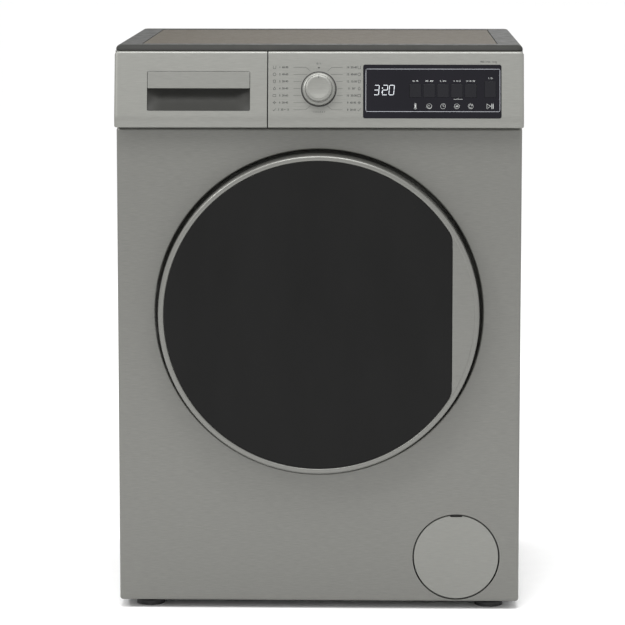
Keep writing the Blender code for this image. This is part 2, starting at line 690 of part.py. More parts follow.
def build_drive():
    spider = slab("drum_spider", spider_outline(), -0.1425, -0.1265, "cast_aluminium",
                  Matrix.Translation((0, 0, AXIS_Z)) @ FRONTAL)
    join(spider, rod_y("shaft_tool", SHAFT_R, 0.1300, 0.2225, 0, AXIS_Z))
    bore = SHAFT_R + 0.0004
    for name, outer, low, high in (("bearing_front", 0.0380, 0.1475, 0.1700),
                                   ("bearing_rear", 0.0325, 0.1715, 0.1885)):
        turned_y(name, [(bore, low), (outer, low), (outer, high), (bore, high)], SMALL,
                 "galvanised")
    hub, rim_in, rim = 0.0280, 0.1340, DRUM_PULLEY_R
    turned_y("drum_pulley", [
        (bore, 0.1960), (hub, 0.1960), (hub, 0.2060), (rim_in, 0.2060), (rim_in, 0.2000),
        (rim, 0.2000), (rim, 0.2160), (rim_in, 0.2160), (rim_in, 0.2095), (hub, 0.2095),
        (hub, 0.2200), (bore, 0.2200)], 28, "cast_aluminium")


def build_motor():
    turned_y("motor_housing", [
        (0, 0.0300), (0.0620, 0.0300), (0.0620, 0.1850), (0.0078, 0.1850), (0.0078, 0.1820),
        (0.0590, 0.1820), (0.0590, 0.0330), (0, 0.0330)], 24, "motor_black", z=MOTOR_Z)
    turned_y("motor_rotor", [
        (0, 0.0450), (0.0400, 0.0450), (0.0400, 0.1500), (0.0060, 0.1500), (0.0060, 0.1985),
        (MOTOR_PULLEY_R, 0.1985), (MOTOR_PULLEY_R, 0.2170), (0, 0.2170)], SMALL,
        "galvanised", z=MOTOR_Z)


def belt_loop(offset):
    """The belt's path round both pulleys, at a distance outside them."""
    span = AXIS_Z - MOTOR_Z
    big, small = DRUM_PULLEY_R + offset, MOTOR_PULLEY_R + offset
    lean = math.degrees(math.asin((big - small) / span))
    return (arc((0, AXIS_Z), big, -lean, 180 + lean, 24)
            + arc((0, MOTOR_Z), small, 180 + lean, 360 - lean, 8))


def build_belt():
    slab("drive_belt", belt_loop(0.0042), -BELT_Y[1], -BELT_Y[0], "black_rubber", FRONTAL,
         holes=[belt_loop(0.0013)])


def build_suspension():
    wire, coil_r, turns, steps = 0.0022, 0.0110, 5, 7
    low, high, top = 0.6150, 0.7600, 0.8050
    for side, x in (("left", -SPRING_X), ("right", SPRING_X)):
        points = [(x, SPRING_Y, 0.5880), (x, SPRING_Y, 0.6050)]
        for i in range(turns * steps + 1):
            angle = 2 * math.pi * i / steps
            points.append((x + coil_r * math.cos(angle), SPRING_Y + coil_r * math.sin(angle),
                           low + (high - low) * i / (turns * steps)))
        points += [(x, SPRING_Y, 0.7700), (x, SPRING_Y, top)]
        tube(f"spring_{side}", points, wire, "galvanised", resolution=1)
        place = Matrix.Translation((x / SPRING_X * DAMPER_X, DAMPER_Y, 0))
        turned(f"damper_cylinder_{side}", [
            (0, 0.0175), (0.0165, 0.0175), (0.0165, 0.1350), (0.0140, 0.1350),
            (0.0140, 0.0205), (0, 0.0205)], 16, "galvanised", place)
        turned(f"damper_rod_{side}", [
            (0, 0.0600), (0.0131, 0.0600), (0.0131, 0.0800), (0.0090, 0.0830),
            (0.0090, 0.2260), (0, 0.2260)], 16, "dark_plastic", place)


def build_heater():
    half, height, bend = 0.030, 0.2010, -0.085
    path = ([(-half, 0.1430)] + arc((0, bend), half, 180, 360, 6) + [(half, 0.1430)])
    tube("heater_element", [(x, y, height) for x, y in path], 0.0030, "stainless")


# ---------------------------------------------------------------- water and mains


def build_pump():
    turned_y("drain_pump", [
        (0, -0.0850), (0.0300, -0.0850), (0.0300, -0.1420), (0.0400, -0.1420),
        (0.0400, -0.2300), (0.0360, -0.2300), (0.0360, -0.1470), (0, -0.1470)], SMALL,
        "white_plastic", FILTER_X, FILTER_Z)
    plug = turned_y("pump_filter", [
        (0, -0.1560), (0.0270, -0.1560), (0.0270, -0.2150), (0.0340, -0.2170),
        (0.0340, -0.2310), (0, -0.2310)], SMALL, "white_plastic", FILTER_X, FILTER_Z)
    grip = block("filter_grip_tool", (FILTER_X - 0.026, -0.2372, FILTER_Z - 0.005),
                 (FILTER_X + 0.026, -0.2300, FILTER_Z + 0.005))
    join(plug, grip)
    cover = turned_y("filter_cover", [
        (0, FRONT_Y), (FILTER_COVER_R, FRONT_Y), (FILTER_COVER_R, FRONT_Y + SKIN),
        (0, FRONT_Y + SKIN)], ROUND, "silver_plastic", FILTER_X, FILTER_Z)
    finger = block("finger_slot_cutter", (FILTER_X - 0.009, -0.25, FILTER_Z + 0.0605),
                   (FILTER_X + 0.009, -0.23, FILTER_Z + 0.07))
    cut(cover, finger)


def build_sump_hose():
    tube("sump_hose", [(0.100, -0.090, 0.1970), (0.100, -0.090, 0.1650), (0.101, -0.096, 0.1350),
                       (0.104, -0.112, 0.1080), (0.113, -0.135, 0.0890), (0.130, -0.160, 0.0806),
                       (0.1630, -0.160, 0.0806)], 0.0160, "black_rubber")


def build_connections():
    valve = block("inlet_valve", (0.172, 0.205, 0.748), (0.228, 0.262, 0.802), "white_plastic")
    join(valve, rod_y("thread_tool", 0.0132, 0.250, SPIGOT_Y, 0.200, 0.775, 16))
    turned_y("cord_gland", [
        (0, 0.2550), (0.0098, 0.2550), (0.0098, 0.2690), (0.0140, 0.2690), (0.0140, 0.2715),
        (0.0085, 0.2720), (0.0065, 0.2780), (0, 0.2780)], 16, "black_rubber", 0.245, 0.690)


def build_all():
    build_front_panel()
    build_cabinet_wrap()
    build_rear_cover()
    build_base_tray()
    build_feet()
    build_worktop()
    build_control_fascia()
    build_display()
    build_knob()
    build_drawer()
    build_drawer_tray()
    build_dispenser_housing()
    build_door_ring()
    build_door_inner_frame()
    build_door_glass()
    build_hinge()
    build_latch()
    build_gasket()
    build_tub()
    build_counterweight()
    build_drum()
    build_drive()
    build_motor()
    build_belt()
    build_suspension()
    build_heater()
    build_pump()
    build_sump_hose()
    build_connections()


build_all()
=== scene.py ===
"""Detailed look of a front-loading washing machine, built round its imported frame.

Every size is in metres, in the frame's own axes: +Z is up and the door faces -Y.
"""
import math

import bmesh
import bpy
import mathutils.geometry
from mathutils import Matrix, Vector


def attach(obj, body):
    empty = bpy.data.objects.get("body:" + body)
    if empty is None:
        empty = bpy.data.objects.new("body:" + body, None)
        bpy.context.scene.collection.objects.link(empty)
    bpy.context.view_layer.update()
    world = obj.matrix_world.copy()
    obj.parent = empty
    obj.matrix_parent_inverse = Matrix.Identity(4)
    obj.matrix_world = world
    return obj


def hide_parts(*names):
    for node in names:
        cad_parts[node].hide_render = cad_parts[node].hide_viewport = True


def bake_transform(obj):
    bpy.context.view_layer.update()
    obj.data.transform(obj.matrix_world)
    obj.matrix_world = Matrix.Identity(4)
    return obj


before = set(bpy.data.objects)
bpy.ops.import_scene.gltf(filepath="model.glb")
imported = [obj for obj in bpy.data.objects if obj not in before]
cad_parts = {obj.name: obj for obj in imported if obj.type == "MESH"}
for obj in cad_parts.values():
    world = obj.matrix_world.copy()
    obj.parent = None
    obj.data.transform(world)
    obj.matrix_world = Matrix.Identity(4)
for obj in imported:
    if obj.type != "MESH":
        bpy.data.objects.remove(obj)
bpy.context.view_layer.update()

# ---------------------------------------------------------------- dimensions of the frame

CABINET_HALF = 0.2985
FASCIA_HALF = 0.2998
HEIGHT = 0.845
BASE_Z = 0.013
FRONT_Y = -0.2415
SEAM_Y = -0.2215
REAR_Y = 0.2685
SPIGOT_Y = 0.2785
INLET_X, INLET_Z = 0.200, 0.775
GLAND_X, GLAND_Z = 0.245, 0.690
SPRING_X, SPRING_Y = 0.235, 0.115
FACE_Y = -0.2785
PANEL_TOP = 0.7235
FASCIA_BOTTOM = 0.7245
FASCIA_TOP = 0.8360
CREASE_Z = 0.7385
CREASE_Y = FRONT_Y - 0.025
FASCIA_TOP_Y = FRONT_Y - 0.004
FASCIA_LEFT = -0.0741
DRAWER_RIGHT = -0.0759
TILT = math.atan((FASCIA_TOP_Y - CREASE_Y) / (FASCIA_TOP - CREASE_Z))
AXIS_Z = 0.449
DISH_R = 0.2425
RING_R = 0.2365
WINDOW_R, WINDOW_FLAT, WINDOW_FILLET = 0.2280, 0.1960, 0.028
FLOOR_Y = FRONT_Y + 0.0205
LIP_R = 0.1753
HINGE_X, HINGE_Y = -0.2275, -0.2640
DRUM_R = 0.240
KNOB_V = 0.0435
WINDOW_BOX = (0.0651, 0.2665, 0.0010, 0.0795)
KEY_FIRST_X, KEY_PITCH, KEY_WIDTH = 0.1411, 0.0202, 0.0170
KEY_LOW, KEY_HIGH = 0.0316, 0.0512
START_X, START_WIDTH, START_HIGH = 0.2503, 0.0165, 0.0552
POCKET = (-0.2517, -0.1006, 0.7495, 0.8067)
PLATE_V = (0.0446, 0.0693)
TRAY_X, TRAY_Z = (-0.2550, -0.1050), (0.7375, 0.8150)
FILTER_X, FILTER_Z = 0.2048, 0.0806
FILTER_OPENING_R, FILTER_COVER_R = 0.065, 0.0633

PLAN = Matrix.Identity(4)                       # outline in XY, thickness along Z
FRONTAL = Matrix.Rotation(math.pi / 2, 4, "X")  # outline in XZ, thickness towards -Y
SIDEWAYS = Matrix(((0, 0, 1, 0), (1, 0, 0, 0), (0, 1, 0, 0), (0, 0, 0, 1)))  # YZ, along X
FACE = (Matrix.Translation((0, CREASE_Y, CREASE_Z))
        @ Matrix.Rotation(math.pi / 2 - TILT, 4, "X"))  # on the fascia's leaning face
AXIS = Matrix.Translation((0, 0, AXIS_Z)) @ FRONTAL     # round the door and drum axis
KNOB_PLACE = FACE @ Matrix.Translation((0, KNOB_V, 0))

END_ROUND = 0.0065      # radius over the outer ends of the fascia
FACE_LIFT = 0.00008     # of printing over the fascia's face
GLASS_LIFT = 0.00034    # of printing over the display glass
PRINT_DEPTH = 0.00006   # thickness of printing
LETTER_SIZE = 1.40      # font size for a unit height of its capitals
WELD = 1e-6             # vertices closer than this are one
SHARE_OF_EDGE = 0.45    # the most of an edge that a rounded corner may use
ROUND_PROFILE = 0.5     # Blender's value for a circular bevel
SOFTENED_ANGLE = 40     # degrees over which a cut edge is softened
FACE_WEIGHT = 60        # how far large faces lead the shading of soft edges
KEYS = [(x - width / 2, x + width / 2, KEY_LOW, high, body) for x, width, high, body in (
    *((KEY_FIRST_X + i * KEY_PITCH, KEY_WIDTH, KEY_HIGH, f"key_{i + 1}") for i in range(5)),
    (START_X, START_WIDTH, START_HIGH, "key_start"))]
SEGMENTS = {"0": "abcdef", "2": "abged", "3": "abgcd"}
PROGRAMMES = (("1  60-90", "2  40-60", "3  20-90", "4  30-40", "5  20-60", "6  20-40",
               "7  30 + 15"),
              ("14  20-40", "13  40-60", "12  15-30", "11  30°", "10  20-30", "9  40-90",
               "8  20-60"))

# ---------------------------------------------------------------- materials


class Finish:
    """A Principled material whose colour, roughness and bump come from procedural nodes."""

    def __init__(self, name, roughness, metallic=0.0, **sockets):
        self.material = bpy.data.materials.new(name)
        self.material.use_nodes = True
        self.tree = self.material.node_tree
        self.shader = self.tree.nodes["Principled BSDF"]
        self.fill(self.shader, Roughness=roughness, Metallic=metallic, **sockets)
        self.coordinates = self.node("ShaderNodeTexCoord").outputs["Object"]
        self.height = None

    def fill(self, node, **sockets):
        for name, value in sockets.items():
            node.inputs[name.replace("_", " ")].default_value = value
        return node

    def node(self, kind, **sockets):
        return self.fill(self.tree.nodes.new(kind), **sockets)

    def link(self, output, socket):
        self.tree.links.new(output, socket)

    def texture(self, kind, output, size, stretch=(1, 1, 1), **sockets):
        """A pattern whose features are about that size, in metres, scaled for each axis."""
        node = self.node(kind, Scale=1 / size, **sockets)
        place = self.coordinates
        if stretch != (1, 1, 1):
            mapping = self.node("ShaderNodeMapping", Scale=stretch)
            self.link(place, mapping.inputs["Vector"])
            place = mapping.outputs["Vector"]
        self.link(place, node.inputs["Vector"])
        return node.outputs[output]

    def noise(self, size, detail=3.0, stretch=(1, 1, 1)):
        return self.texture("ShaderNodeTexNoise", "Fac", size, stretch, Detail=detail)

    def cells(self, size, output="Distance"):
        return self.texture("ShaderNodeTexVoronoi", output, size)

    def colour(self, value, *stops):
        """The base colour: a ramp of (position, colour) along a value."""
        ramp = self.node("ShaderNodeValToRGB")
        elements = ramp.color_ramp.elements
        while len(elements) < len(stops):
            elements.new(0.5)
        for element, (position, color) in zip(elements, stops):
            element.position = position
            element.color = (*color, 1.0)
        self.link(ramp.outputs["Color"], self.shader.inputs["Base Color"])
        self.link(value, ramp.inputs["Fac"])

    def shades(self, value, color, shade, low=0.25, high=0.75):
        """The base colour, darker and lighter by a share along a value."""
        self.colour(value, (low, tint(color, 1 - shade)), (high, tint(color, 1 + shade)))

    def rough(self, value, low, high):
        """Roughness from low to high along the middle of a value."""
        spread = self.node("ShaderNodeMapRange", From_Min=0.3, From_Max=0.7, To_Min=low,
                           To_Max=high)
        self.link(value, spread.inputs["Value"])
        self.link(spread.outputs["Result"], self.shader.inputs["Roughness"])

    def bump(self, value, distance, strength=1.0):
        """Adds relief: distance is its height in metres."""
        bump = self.node("ShaderNodeBump", Distance=distance, Strength=strength)
        self.link(value, bump.inputs["Height"])
        if self.height is not None:
            self.link(self.height, bump.inputs["Normal"])
        self.height = bump.outputs["Normal"]
        self.link(self.height, self.shader.inputs["Normal"])
        return self


def tint(color, factor):
    """A lighter or darker colour, kept within white."""
    return tuple(min(1.0, channel * factor) for channel in color)


def painted(name, color, roughness, metallic, flake=0.10):
    """Metallic lacquer: fine flake in level streaks, faint clouding and orange peel."""
    finish = Finish(name, roughness, metallic, Coat_Weight=0.25, Coat_Roughness=0.18)
    sparkle = finish.noise(0.0008, 4.0, (0.06, 1.0, 1.0))
    finish.colour(sparkle, (0.28, tint(color, 1 - flake)), (0.50, color),
                  (0.72, tint(color, 1 + flake)))
    finish.rough(finish.noise(0.012, 3.0), roughness - 0.012, roughness + 0.016)
    finish.bump(finish.noise(0.0040, 2.0), 0.00002, 0.5)
    return finish.bump(sparkle, 0.00001, 0.35).material


def moulded(name, color, roughness, grain=0.0006, relief=0.00003, shade=0.12, **sockets):
    """Moulded plastic or rubber: fine spark-eroded grain and faint flow marks."""
    finish = Finish(name, roughness, **sockets)
    cloud = finish.noise(0.03, 4.0)
    finish.shades(cloud, color, shade)
    finish.rough(finish.noise(0.012, 3.0), roughness - 0.06, roughness + 0.08)
    return finish.bump(finish.cells(grain), relief, 0.6).material


def brushed(name, color, roughness, stretch, metallic=1.0, relief=0.000015, shade=0.12):
    """Drawn or ground metal: long fine scratches along one axis."""
    finish = Finish(name, roughness, metallic)
    grain = finish.noise(0.0008, 3.0, stretch)
    finish.shades(grain, color, shade)
    finish.rough(finish.noise(0.02, 4.0), roughness - 0.07, roughness + 0.09)
    return finish.bump(grain, relief, 0.7).material


def spangled(name, color, roughness, size, metallic=0.9):
    """Hot-dip zinc: irregular crystals that differ in tone and sheen."""
    finish = Finish(name, roughness, metallic)
    crystal = finish.cells(size, "Color")
    finish.colour(crystal, (0.2, tint(color, 0.80)), (0.8, tint(color, 1.16)))
    finish.rough(finish.noise(size * 1.5, 3.0), roughness - 0.10, roughness + 0.10)
    return finish.bump(finish.noise(0.0015, 3.0), 0.00003, 0.5).material


def cast(name, color, roughness, metallic, grain=0.0015, relief=0.00020, shade=0.22):
    """Sand-cast metal or concrete: pitted and blotched."""
    finish = Finish(name, roughness, metallic)
    blotch = finish.noise(0.012, 6.0)
    finish.shades(blotch, color, shade, 0.28, 0.72)
    finish.rough(finish.noise(0.004, 4.0), roughness - 0.08, roughness + 0.08)
    finish.bump(finish.noise(grain, 5.0), relief, 0.8)
    return finish.bump(finish.cells(grain * 3), relief / 2, 0.4).material


def laminate(name):
    """Brown-grey textured worktop laminate with a dense fleck."""
    finish = Finish(name, 0.55, Specular_IOR_Level=0.03)
    fleck = finish.noise(0.0022, 8.0)
    finish.colour(fleck, (0.30, (0.037, 0.030, 0.020)), (0.50, (0.053, 0.044, 0.031)),
                  (0.72, (0.072, 0.061, 0.044)))
    finish.rough(finish.noise(0.010, 3.0), 0.50, 0.56)
    return finish.bump(finish.noise(0.0011, 5.0), 0.00008, 0.6).material


def gloss(name, color, roughness, smear=0.06, **sockets):
    """Polished plastic or glass: an even colour with a faint wiped film."""
    finish = Finish(name, roughness, **sockets)
    film = finish.noise(0.06, 4.0, (1.0, 1.0, 0.35))
    finish.shades(film, color, 0.08)
    finish.rough(film, roughness, roughness + smear)
    return finish.bump(finish.noise(0.02, 1.0), 0.00001, 0.25).material


def printed_circuit(name):
    """Green solder mask with tracks and pale pads."""
    finish = Finish(name, 0.42)
    tracks = finish.cells(0.0045)
    finish.colour(tracks, (0.00, (0.55, 0.50, 0.32)), (0.10, (0.55, 0.50, 0.32)),
                  (0.14, (0.020, 0.115, 0.050)), (0.55, (0.030, 0.170, 0.075)),
                  (0.80, (0.016, 0.085, 0.040)))
    finish.rough(finish.noise(0.004, 3.0), 0.34, 0.52)
    return finish.bump(tracks, 0.00010, 0.5).material


PAINT = painted("Silver paint", (0.129, 0.129, 0.119), 0.38, 0.55)
SILVER = painted("Silver lacquer on plastic", (0.160, 0.161, 0.148), 0.40, 0.40, 0.08)
DOOR_SILVER = painted("Door ring lacquer", (0.132, 0.132, 0.122), 0.34, 0.50, 0.07)
DARK = moulded("Dark grey plastic", (0.095, 0.096, 0.092), 0.52)
FRAME_GREY = moulded("Worktop frame grey", (0.036, 0.036, 0.034), 0.50, 0.0008, 0.00003, 0.07,
                     Specular_IOR_Level=0.03)
BOARD = laminate("Worktop laminate")
DISPLAY = gloss("Display black", (0.0052, 0.0050, 0.0072), 0.16, Specular_IOR_Level=0.14)
TINTED = gloss("Tinted window", (0.0080, 0.0080, 0.0079), 0.30, Specular_IOR_Level=0.06)
GLASS = gloss("Door glass", (0.86, 0.92, 0.91), 0.03, 0.03, Transmission_Weight=0.92, IOR=1.47)
GASKET = moulded("Grey rubber", (0.165, 0.168, 0.172), 0.62, 0.0009, 0.00004, 0.15)
RUBBER = moulded("Black rubber", (0.024, 0.024, 0.025), 0.72, 0.0010, 0.00006, 0.25)
STAINLESS = brushed("Drum stainless", (0.50, 0.495, 0.48), 0.42, (1.0, 0.05, 1.0), 0.75,
                    0.000004, 0.05)
ZINC = spangled("Galvanised steel", (0.48, 0.49, 0.50), 0.42, 0.006)
TUB = moulded("Tub plastic", (0.52, 0.53, 0.53), 0.58, 0.0012, 0.00006, 0.10)
WHITE = moulded("White plastic", (0.56, 0.565, 0.548), 0.42, 0.0010, 0.00002, 0.05)
CAST = cast("Cast aluminium", (0.50, 0.50, 0.51), 0.46, 0.85)
CONCRETE = cast("Concrete", (0.38, 0.37, 0.35), 0.88, 0.0, 0.003, 0.0006)
MOTOR = moulded("Black enamel", (0.035, 0.035, 0.038), 0.38, 0.0015, 0.00005, 0.2, Coat_Weight=0.3)
CIRCUIT = printed_circuit("Circuit board")
PRINT = moulded("Pale print", (0.42, 0.43, 0.42), 0.55, 0.0004, 0.00001, 0.06)
INK = moulded("Grey print", (0.022, 0.022, 0.021), 0.60, 0.0004, 0.00001, 0.10)
FRAME_INK = moulded("Display print", (0.30, 0.31, 0.33), 0.50, 0.0004, 0.00001, 0.06)
LIT = moulded("Lit segments", (0.60, 0.62, 0.65), 0.50, 0.0005, 0.00001, 0.04,
              Emission_Color=(0.85, 0.92, 1.0, 1.0), Emission_Strength=0.18)
KEY_BLACK = gloss("Key black", (0.0074, 0.0074, 0.0092), 0.22, Specular_IOR_Level=0.16)
# Painted shade: a near-black finish that stands for the shade in the drawer's finger recess and
# round the knob, both of silver plastic
RECESS_SHADE = moulded("Recess painted shade", (0.022, 0.022, 0.020), 0.55, 0.0007, 0.00003, 0.06,
                 Specular_IOR_Level=0.2)
SIPHON = moulded("Siphon blue grey", (0.16, 0.24, 0.36), 0.40, 0.0009, 0.00002, 0.06)
PADDLE = moulded("Lifter grey", (0.42, 0.43, 0.43), 0.45, 0.0010, 0.00003, 0.06)
# The fascia's silver lacquer made darker as painted shade, for the plate's place in the drawer's
# recess
SHADED_PLATE = painted("Handle plate lacquer, painted shade", (0.140, 0.141, 0.130), 0.42, 0.40, 0.08)
COVER = painted("Filter cover lacquer", (0.163, 0.164, 0.151), 0.40, 0.45, 0.08)
CAST_ZINC = cast("Cast zinc", (0.50, 0.51, 0.52), 0.40, 0.9, 0.0010, 0.00006, 0.10)
SCREW = brushed("Screw steel", (0.42, 0.42, 0.43), 0.30, (1.0, 1.0, 0.2))
FLOOR = moulded("Studio floor", (0.93, 0.93, 0.93), 0.75, 0.004, 0.00001, 0.01)

KEPT = {    # nodes of the frame that stay as they are, each with its finish
    "base_tray": DARK, "control_board": CIRCUIT, "dispenser_housing": WHITE, "door_lock": WHITE,
    "damper_cylinder_left": ZINC, "damper_cylinder_right": ZINC, "drain_pump": WHITE,
    "tub_front": TUB, "tub_rear": TUB,
    "counterweight_upper": CONCRETE, "heater_element": STAINLESS, "damper_rod_left": DARK,
    "damper_rod_right": DARK, "bearing_front": ZINC, "bearing_rear": ZINC, "drive_belt": RUBBER,
    "motor_housing": MOTOR, "drum_spider": CAST, "drum_pulley": CAST, "motor_rotor": ZINC,
}

# ---------------------------------------------------------------- mesh helpers


def arc(center, radius, start, end, count):
    """Points along an arc, its angles in degrees."""
    angles = [math.radians(start + (end - start) * i / count) for i in range(count + 1)]
    return [(center[0] + radius * math.cos(a), center[1] + radius * math.sin(a))
            for a in angles]


def rounded_rect(left, right, low, high, radius, count=8):
    points = []
    for x, y, start in ((right - radius, high - radius, 0), (left + radius, high - radius, 90),
                        (left + radius, low + radius, 180), (right - radius, low + radius, 270)):
        points += arc((x, y), radius, start, start + 90, count)
    return points


def ring_points(radius, steps):
    return arc((0, 0), radius, 0, 360, steps)[:-1]


def weld(bm, distance=WELD):
    """Joins vertices that meet, and turns the faces outwards."""
    bmesh.ops.remove_doubles(bm, verts=bm.verts, dist=distance)
    bmesh.ops.dissolve_degenerate(bm, edges=bm.edges, dist=WELD / 10)
    bmesh.ops.recalc_face_normals(bm, faces=bm.faces)


def baked(bm, name, place=PLAN):
    """The mesh of a bmesh that is no longer needed, moved to its place."""
    mesh = bpy.data.meshes.new(name)
    bm.to_mesh(mesh)
    bm.free()
    mesh.transform(place)
    return mesh


def to_mesh(bm, name, place=PLAN):
    weld(bm)
    return baked(bm, name, place)


def loft(bm, loops, closed=True):
    """Quads between loops of the same number of points."""
    rows = [[bm.verts.new(point) for point in loop] for loop in loops]
    for one, two in zip(rows, rows[1:]):
        for i in range(len(one) if closed else len(one) - 1):
            j = (i + 1) % len(one)
            bm.faces.new((one[i], one[j], two[j], two[i]))
    return rows


def flat_loop(outline, height):
    return [(x, y, height) for x, y in outline]


def solid(name, loops, place=PLAN, caps=(0, -1), closed=True):
    """A mesh between loops, with a face over each end that is named in caps."""
    bm = bmesh.new()
    rows = loft(bm, loops, closed)
    for end in caps:
        bm.faces.new(rows[end])
    return to_mesh(bm, name, place)


def turned(name, profile, steps=96, place=PLAN, closed=True):
    """A mesh turned round its place's Z axis from (radius, height) points."""
    solid_core = profile[0][0] == profile[-1][0] == 0
    if closed and not solid_core and profile[0] != profile[-1]:
        profile = [*profile, profile[0]]
    return solid(name, [flat_loop(ring_points(radius, steps), height)
                        for radius, height in profile], place, ())


def rod(radius, low, high, steps=32, place=PLAN):
    """A cylinder along its place's Z axis."""
    return turned("rod", [(0, low), (radius, low), (radius, high), (0, high)], steps, place)


def rod_y(radius, low, high, steps, x, z):
    return turned_y("rod", [(0, low), (radius, low), (radius, high), (0, high)], steps, x, z)


def quarter(radius, count=6):
    """(inset, drop) round a quarter turn, from an upright side to a level top."""
    return [(radius * (1 - math.sin(a)), radius * (1 - math.cos(a)))
            for a in (math.pi / 2 * i / count for i in range(count + 1))]


def centred(half_x, half_y, radius, count=8):
    """A rounded rectangle about the origin."""
    return rounded_rect(-half_x, half_x, -half_y, half_y, radius, count)


def moved(outline, x, y):
    return [(px + x, py + y) for px, py in outline]


def bent(start, middle, end, count):
    """Points on a quadratic bend from start to end."""
    return [tuple(start * (1 - t) ** 2 + middle * 2 * t * (1 - t) + end * t * t)
            for t in (i / count for i in range(count + 1))]


def turned_y(name, profile, steps=96, x=0.0, z=AXIS_Z, closed=True):
    """A mesh turned round an axis along Y, its profile given as (radius, Y)."""
    place = Matrix.Translation((x, 0, z)) @ FRONTAL
    return turned(name, [(radius, -y) for radius, y in profile], steps, place, closed)


def soft_profile(points, radius, count=4):
    """A closed profile with its corners rounded, skipping any on the axis."""
    result = []
    for i, corner in enumerate(points):
        corner = Vector(corner)
        one, two = Vector(points[i - 1]) - corner, Vector(points[(i + 1) % len(points)]) - corner
        reach = min(radius, one.length * SHARE_OF_EDGE, two.length * SHARE_OF_EDGE)
        if corner.x == 0 or one.length < WELD or two.length < WELD:
            result.append(tuple(corner))
        else:
            result += bent(corner + one.normalized() * reach, corner,
                           corner + two.normalized() * reach, count)
    return result


def add_object(name, data):
    obj = bpy.data.objects.new(name, data)
    bpy.context.scene.collection.objects.link(obj)
    return obj


def evaluated_mesh(obj):
    """The mesh of an object after its modifiers."""
    bpy.context.view_layer.update()
    return bpy.data.meshes.new_from_object(
        obj.evaluated_get(bpy.context.evaluated_depsgraph_get()))


def curve_mesh(curve, name, place=PLAN):
    guide = add_object(name, curve)
    mesh = evaluated_mesh(guide)
    bpy.data.objects.remove(guide)
    bpy.data.curves.remove(curve)
    bm = bmesh.new()
    bm.from_mesh(mesh)
    bpy.data.meshes.remove(mesh)
    return to_mesh(bm, name, place)


def slab(name, outline, low, high, place=PLAN, holes=(), edge=0.0, rings=3):
    """A flat outline with holes between two heights, its edges rounded to a radius."""
    curve = bpy.data.curves.new(name, "CURVE")
    curve.dimensions = "2D"
    curve.fill_mode = "BOTH"
    curve.extrude = (high - low) / 2 - edge
    curve.bevel_depth = edge
    curve.bevel_resolution = rings if edge else 0
    curve.offset = -edge
    for loop in (outline, *holes):
        spline = curve.splines.new("POLY")
        spline.points.add(len(loop) - 1)
        for point, (x, y) in zip(spline.points, loop):
            point.co = (x, y, 0, 1)
        spline.use_cyclic_u = True
    return curve_mesh(curve, name, place @ Matrix.Translation((0, 0, (low + high) / 2)))


def tube(name, points, radius, pleat=1.0, rings=4):
    """A round wire or hose through the points; every other ring is scaled by pleat."""
    curve = bpy.data.curves.new(name, "CURVE")
    curve.dimensions = "3D"
    curve.bevel_depth = radius
    curve.bevel_resolution = rings
    curve.use_fill_caps = True
    spline = curve.splines.new("POLY")
    spline.points.add(len(points) - 1)
    for i, place in enumerate(points):
        spline.points[i].co = (*place, 1)
        spline.points[i].radius = pleat if i % 2 else 1.0
    return curve_mesh(curve, name)


def block(name, low, high, place=PLAN, edge=0.0, segments=3):
    """A box between two corners, with rounded edges."""
    low, high = Vector(low), Vector(high)
    bm = bmesh.new()
    shape = Matrix.Translation((low + high) / 2) @ Matrix.Diagonal((*(high - low), 1.0))
    bmesh.ops.create_cube(bm, size=1.0, matrix=shape)
    if edge:
        bmesh.ops.bevel(bm, geom=bm.edges, offset=edge, segments=segments,
                        profile=ROUND_PROFILE, affect="EDGES")
    return to_mesh(bm, name, place)


def merged(name, *meshes):
    """Several meshes as one, without a boolean."""
    bm = bmesh.new()
    for mesh in meshes:
        bm.from_mesh(mesh)
        bpy.data.meshes.remove(mesh)
    return baked(bm, name)


def cut(mesh, *tools, soften=0.0, segments=2, sheet=None):
    """A mesh, or a sheet given a thickness, less its tools, with its edges softened."""
    obj = add_object(mesh.name, mesh)
    helpers = [add_object("tool", tool) for tool in tools]
    if sheet:
        thicken = obj.modifiers.new("Sheet", "SOLIDIFY")
        thicken.thickness, thicken.offset = sheet
    for helper in helpers:
        obj.modifiers.new("Cut", "BOOLEAN").object = helper
    if soften:
        bevel = obj.modifiers.new("Soft edges", "BEVEL")
        bevel.width = soften
        bevel.segments = segments
        bevel.angle_limit = math.radians(SOFTENED_ANGLE)
    result = evaluated_mesh(obj)
    for done in (obj, *helpers):
        bpy.data.objects.remove(done)
    return result


def piece(name, mesh, material, body, stands_for=(), sharp=32, wall=0.0):
    """A shown piece on a body, in place of CAD nodes where it stands for some.

    A piece without a body is attached to none, and its maker bakes its place into its mesh.
    """
    mesh.materials.clear()
    mesh.materials.append(material)
    mesh.shade_smooth()
    mesh.set_sharp_from_angle(angle=math.radians(sharp))
    obj = add_object(name, mesh)
    if wall:
        solidify = obj.modifiers.new("Wall", "SOLIDIFY")
        solidify.thickness = wall
        solidify.offset = -1
    normals = obj.modifiers.new("Even shading", "WEIGHTED_NORMAL")
    normals.keep_sharp = True
    normals.weight = FACE_WEIGHT
    if stands_for:
        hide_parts(*stands_for)
    if body:
        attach(obj, body)
    return obj


def dress(node, material):
    """A CAD node kept as it is, with a finish."""
    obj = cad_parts[node]
    for spot in obj.material_slots:
        spot.material = material
    if not obj.material_slots:
        obj.data.materials.append(material)


def text_mesh(name, words, height, place, bold=0.0, depth=PRINT_DEPTH):
    """Printed characters, centred on the place's origin."""
    curve = bpy.data.curves.new(name, "FONT")
    curve.body = words
    curve.size = height * LETTER_SIZE
    curve.extrude = depth / 2
    curve.offset = bold
    curve.align_x = "CENTER"
    curve.align_y = "CENTER"
    return curve_mesh(curve, name, place)


